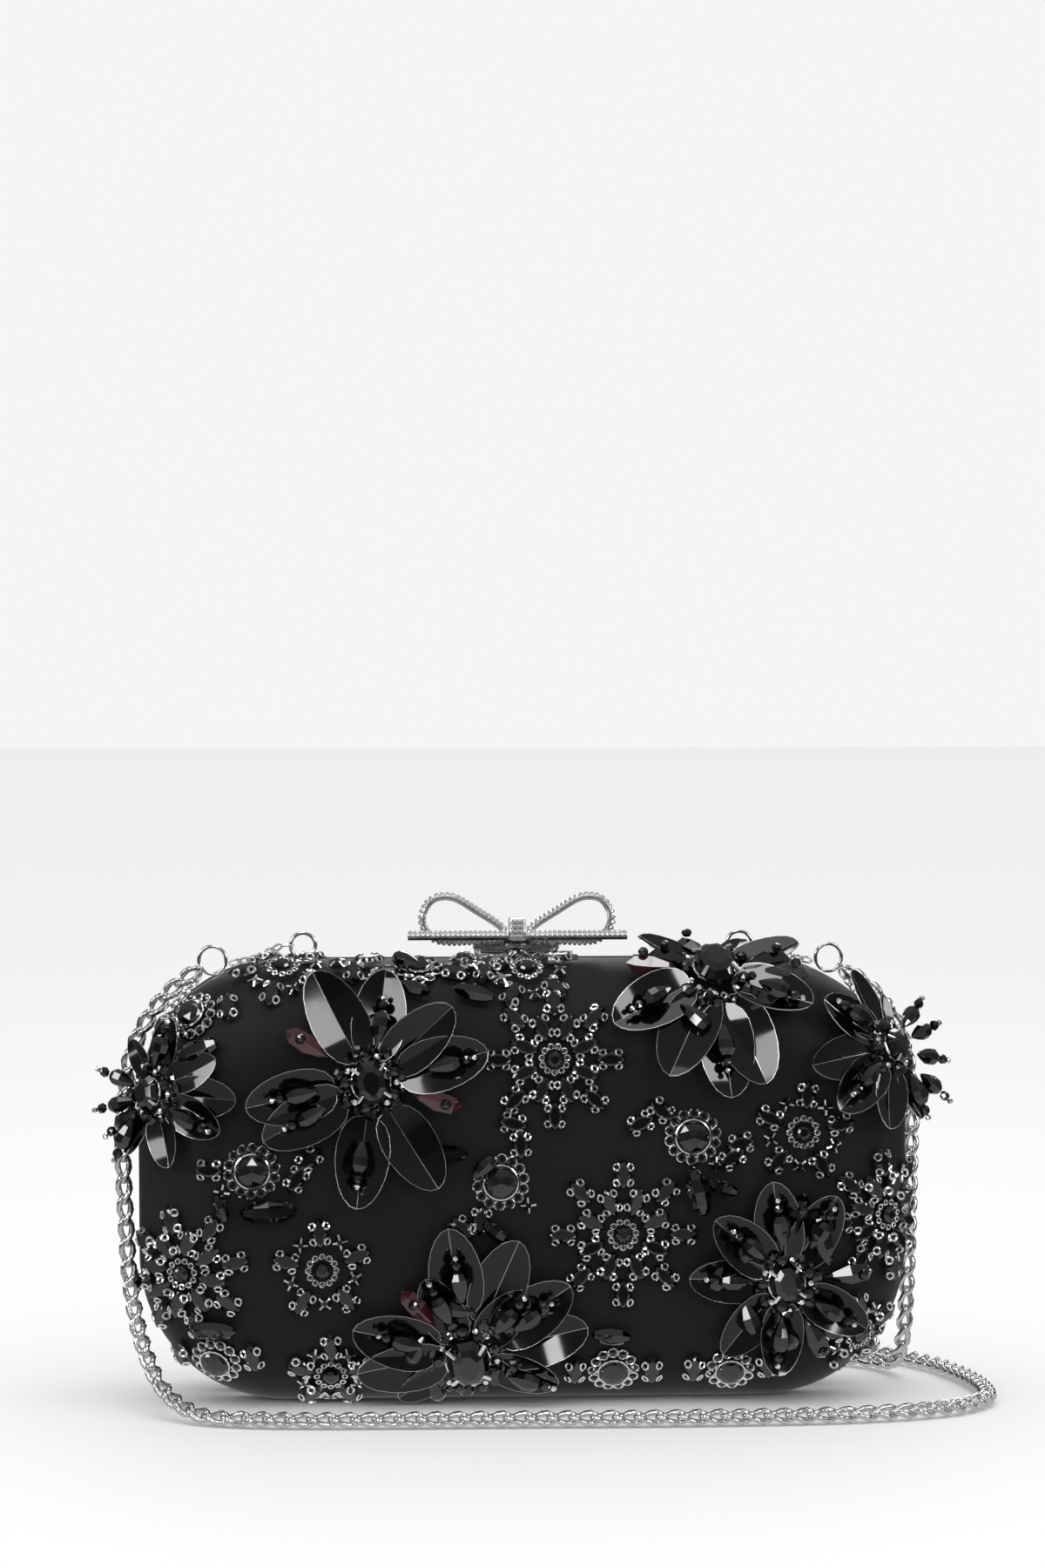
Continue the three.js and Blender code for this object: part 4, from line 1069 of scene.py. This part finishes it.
def make_flower(node, petals, pendants=(), size=1.0, stone=1.0, beads=(), stalks=()):
    motif = Motif(node)
    place = stand(*walk(motif.middle, 100, 0.01 * MM), 3.2 * MM, 0, 0, stone)
    put(motif.stones, oval_stone, place)
    edge = template(wire_loop(4.9 * MM * stone, 0.4 * MM, 24, 6))
    put(motif.settings, edge, stand(*walk(motif.middle, 100, 0.01 * MM), 3.3 * MM))
    for i in range(4):
        turn = Matrix.Rotation(radians(45 + 90 * i), 4, "Z")
        put(motif.settings, claw, place @ turn @ Matrix.Translation((0, 4.9 * MM, 2.6 * MM)) @ Matrix.Scale(1.7, 4))
    for i in range(14):
        degrees = i * 360 / 14
        inner, target = ((seed, motif.settings), (small_bead, None), (tiny_loop, motif.settings))[i % 3]
        motif.single(inner, degrees, 6.6 * MM * stone, 2.2 * MM, 0, 0, 1.2, target)
        motif.single((bead, small_bead)[i % 2], degrees + 13, 8.6 * MM * stone, 1.2 * MM, 0, 20)
    for degrees, tip, drop_at in petals:
        swing = noise.noise(Vector((degrees * 0.37, tip, 5)))
        start = max(tip * size - 24 * size, 5) * MM
        rise = (4.5 + 3 * swing) * MM
        place, length = span(motif.middle, degrees, start, tip * size * MM, 1.8 * MM, rise, 18 * swing)
        if (place @ Vector((0, length, 0))).z < body_low.z + 2 * MM:
            continue
        put(motif.film, leaf, place @ Matrix.Scale(length / (24 * MM), 4))
        if drop_at:
            on_leaf = place @ Matrix.Translation((0.6 * MM, drop_at * size * MM - start, 3.4 * MM))
            put(motif.stones, drop_bead, on_leaf)
            put(motif.stones, small_bead, on_leaf @ Matrix.Translation((0, 10.3 * MM, -1.2 * MM)))
            put(motif.settings, seed, on_leaf @ Matrix.Translation((0, 12.4 * MM, -0.8 * MM)))
    for degrees, tip, tint in pendants:
        place, length = span(motif.middle, degrees, (tip - 14) * MM, tip * MM, 3 * MM, 4 * MM)
        if (place @ Vector((0, length, 0))).z < body_low.z + 4 * MM:
            continue
        before = len(motif.stones.faces)
        put(motif.stones, pendant, place)
        motif.stones.faces.ensure_lookup_table()
        for face in motif.stones.faces[before:]:
            face.material_index = tint
        put(motif.stones, small_bead, place @ Matrix.Translation((0, 9 * MM, 3 * MM)))
    for degrees, distance, rise in stalks:
        place, length = span(motif.middle, degrees, 5 * MM, distance * MM, 4 * MM, rise * MM)
        put(motif.stones, drop_bead, place @ Matrix.Translation((0, length - 12 * MM, 0)) @ Matrix.Scale(0.85, 4))
        put(motif.stones, small_bead, place @ Matrix.Translation((0, length - 2.6 * MM, -1.1 * MM)))
        put(motif.settings, seed, place @ Matrix.Translation((0, length - 0.4 * MM, -0.8 * MM)))
    for degrees, distance, scale in beads:
        motif.single(drop_bead, degrees, distance * MM, 3 * MM, 90, 0, scale)
    return motif.finish(slot="paillette")


make_flower(
    "flower_upper_left",
    ((191, 33, 14), (208, 31.6, 13), (263, 32.7, 15), (302, 32.3, 0), (14, 31, 15),
     (40, 27.3, 0), (81, 27.5, 9), (120, 29.8, 0)),
    ((150, 26.5, 1), (-16, 25, 1)), 1.0, 1.0, ((66, 33, 0.9), (-44, 36, 0.9)),
)
make_flower(
    "flower_top_right",
    ((209, 31.4, 14), (245, 30.5, 0), (275, 33.2, 15), (292, 31.8, 0), (20, 22.7, 0),
     (335, 26, 12), (150, 22, 0), (60, 17, 0)),
    ((178, 24.3, 1), (168, 19, 0), (-5, 25.2, 2), (8, 21, 0), (118, 19, 0)), 1.0, 1.15,
    ((225, 14, 1.1), (305, 14, 1.1)),
)
make_flower(
    "flower_bottom_centre",
    ((99, 34.8, 15), (67, 33.4, 0), (36, 32.5, 14), (15, 32, 0), (164, 31.4, 13), (183, 29, 0),
     (206, 20, 0), (238, 12, 0), (268, 11, 0), (300, 12, 0), (334, 22, 0),
     (118, 24, 11), (50, 23, 10), (350, 24, 11)),
    ((134, 26, 1),), 1.0, 1.15, ((80, 12, 1.0), (25, 13, 1.0), (150, 13, 1.0), (330, 11, 0.9), (205, 11, 0.9)),
)
make_flower(
    "flower_lower_right",
    ((98, 27, 10), (62, 26, 11), (139, 26, 9), (176, 25.5, 9), (226, 24, 0), (265, 22.5, 9), (330, 23, 8)),
    ((8, 24, 0), (80, 25, 0), (298, 24, 0)), 1.0, 0.95,
    ((118, 12, 1.1), (200, 12, 1.1), (20, 12, 1.1), (245, 13, 1.1), (40, 17, 1.0), (158, 17, 1.0)),
)
make_flower(
    "flower_left_edge",
    ((30, 23, 0), (75, 22, 8), (120, 16, 0), (-25, 24, 9), (-70, 23, 0), (250, 20, 9), (0, 26, 0)),
    (), 0.85, 0.8, (), ((160, 11, 12), (205, 11, 12), (235, 14, 10)),
)
make_flower(
    "flower_right_edge",
    ((140, 24, 9), (105, 22, 0), (180, 25, 0), (215, 24, 8), (250, 22, 0), (285, 20, 8), (70, 15, 0)),
    (), 0.95, 0.8, (), ((40, 13, 13), (12, 13, 14), (-22, 14, 13), (-55, 17, 12)),
)

# ---- Floor and light ----
# A white sweep in a soft studio: a large lamp overhead, one from the front left, white walls. In reflections the
# floor is a painted glow, brightest near the bag.

floor_bm = bmesh.new()
bmesh.ops.create_grid(floor_bm, x_segments=1, y_segments=1, size=6)
floor_mesh = bpy.data.meshes.new("floor")
floor_bm.to_mesh(floor_mesh)
floor_bm.free()
floor = bpy.data.objects.new("floor", floor_mesh)
bpy.context.scene.collection.objects.link(floor)
sweep, sweep_shader = shader_of("white sweep", (0.88, 0.88, 0.88), 0.6, Specular_IOR_Level=0.1)
sweep_nodes, sweep_links = sweep.node_tree.nodes, sweep.node_tree.links
# Painted reflection: glossy rays see the floor as a glow that weakens with distance from the bag, not as the lit
# floor.
floor_reflection_glow = sweep_nodes.new("ShaderNodeEmission")
near = sweep_nodes.new("ShaderNodeTexCoord")
glow_distance = sweep_nodes.new("ShaderNodeVectorMath")
glow_distance.operation = "LENGTH"
fade = sweep_nodes.new("ShaderNodeMapRange")
for key, value in (("From Min", 0.14), ("From Max", 0.5), ("To Min", 0.62), ("To Max", 0.06)):
    fade.inputs[key].default_value = value
sweep_links.new(near.outputs["Object"], glow_distance.inputs[0])
sweep_links.new(glow_distance.outputs["Value"], fade.inputs["Value"])
sweep_links.new(fade.outputs["Result"], floor_reflection_glow.inputs["Strength"])
sweep_ray = sweep_nodes.new("ShaderNodeLightPath")
sweep_mix = sweep_nodes.new("ShaderNodeMixShader")
sweep_links.new(sweep_ray.outputs["Is Glossy Ray"], sweep_mix.inputs["Fac"])
sweep_links.new(sweep_shader.outputs["BSDF"], sweep_mix.inputs[1])
sweep_links.new(floor_reflection_glow.outputs["Emission"], sweep_mix.inputs[2])
sweep_links.new(sweep_mix.outputs["Shader"], sweep_nodes["Material Output"].inputs["Surface"])
floor.data.materials.append(sweep)

world = bpy.data.worlds.new("studio")
world.use_nodes = True
sky, sky_links = world.node_tree.nodes, world.node_tree.links
ray = sky.new("ShaderNodeLightPath")


def sky_light(strength):
    light = sky.new("ShaderNodeBackground")
    light.inputs["Color"].default_value = (1, 1, 1, 1)
    light.inputs["Strength"].default_value = strength
    return light


def sky_choice(ray_kind, otherwise, chosen):
    choose = sky.new("ShaderNodeMixShader")
    sky_links.new(ray.outputs[ray_kind], choose.inputs["Fac"])
    sky_links.new(otherwise.outputs[0], choose.inputs[1])
    sky_links.new(chosen.outputs[0], choose.inputs[2])
    return choose


mirrored = sky_light(0.1)
direction = sky.new("ShaderNodeTexCoord")
parts = sky.new("ShaderNodeSeparateXYZ")
rise = sky.new("ShaderNodeMapRange")
for key, value in (("From Min", -0.05), ("From Max", 0.9), ("To Min", 0.1), ("To Max", 0.35)):
    rise.inputs[key].default_value = value
sky_links.new(direction.outputs["Generated"], parts.inputs["Vector"])
sky_links.new(parts.outputs["Z"], rise.inputs["Value"])
sky_links.new(rise.outputs["Result"], mirrored.inputs["Strength"])
lit = sky_choice("Is Diffuse Ray", mirrored, sky_light(1.14))
seen = sky_choice("Is Camera Ray", lit, sky_light(0.915))
sky_links.new(seen.outputs["Shader"], sky["World Output"].inputs["Surface"])
bpy.context.scene.world = world
bpy.context.scene.view_settings.view_transform = "Standard"


def lamp(name, place, size, brightness, fill=False):
    """A soft box aimed at the bag. Without fill it is seen only in reflections."""
    data = bpy.data.lights.new(name, "AREA")
    data.shape = "RECTANGLE"
    data.size, data.size_y = size
    data.energy = brightness * pi * size[0] * size[1]
    obj = bpy.data.objects.new(name, data)
    obj.location = place
    obj.rotation_euler = (Vector(place) - aim).to_track_quat("Z", "Y").to_euler()
    obj.visible_diffuse = fill
    bpy.context.scene.collection.objects.link(obj)


lamp("overhead", (0, -0.1, 1.5), (1.1, 0.5), 1.6, True)
lamp("front_left", (-1.3, -1.1, 0.8), (0.3, 0.8), 8)
lamp("front_right", (1.4, -1.1, 0.9), (0.25, 0.8), 8)
lamp("front_high", (-0.3, -1.6, 1.5), (0.7, 0.3), 9)
lamp("low_left", (-0.7, -1.5, 0.45), (0.16, 0.2), 14)
lamp("low_right", (0.8, -1.5, 0.5), (0.16, 0.2), 14)
lamp("left", (-1.5, 0.1, 0.6), (0.3, 0.6), 7)
lamp("right", (1.5, 0.2, 0.6), (0.3, 0.6), 7)
lamp("back", (0.3, 1.2, 0.9), (1.4, 0.3), 4)
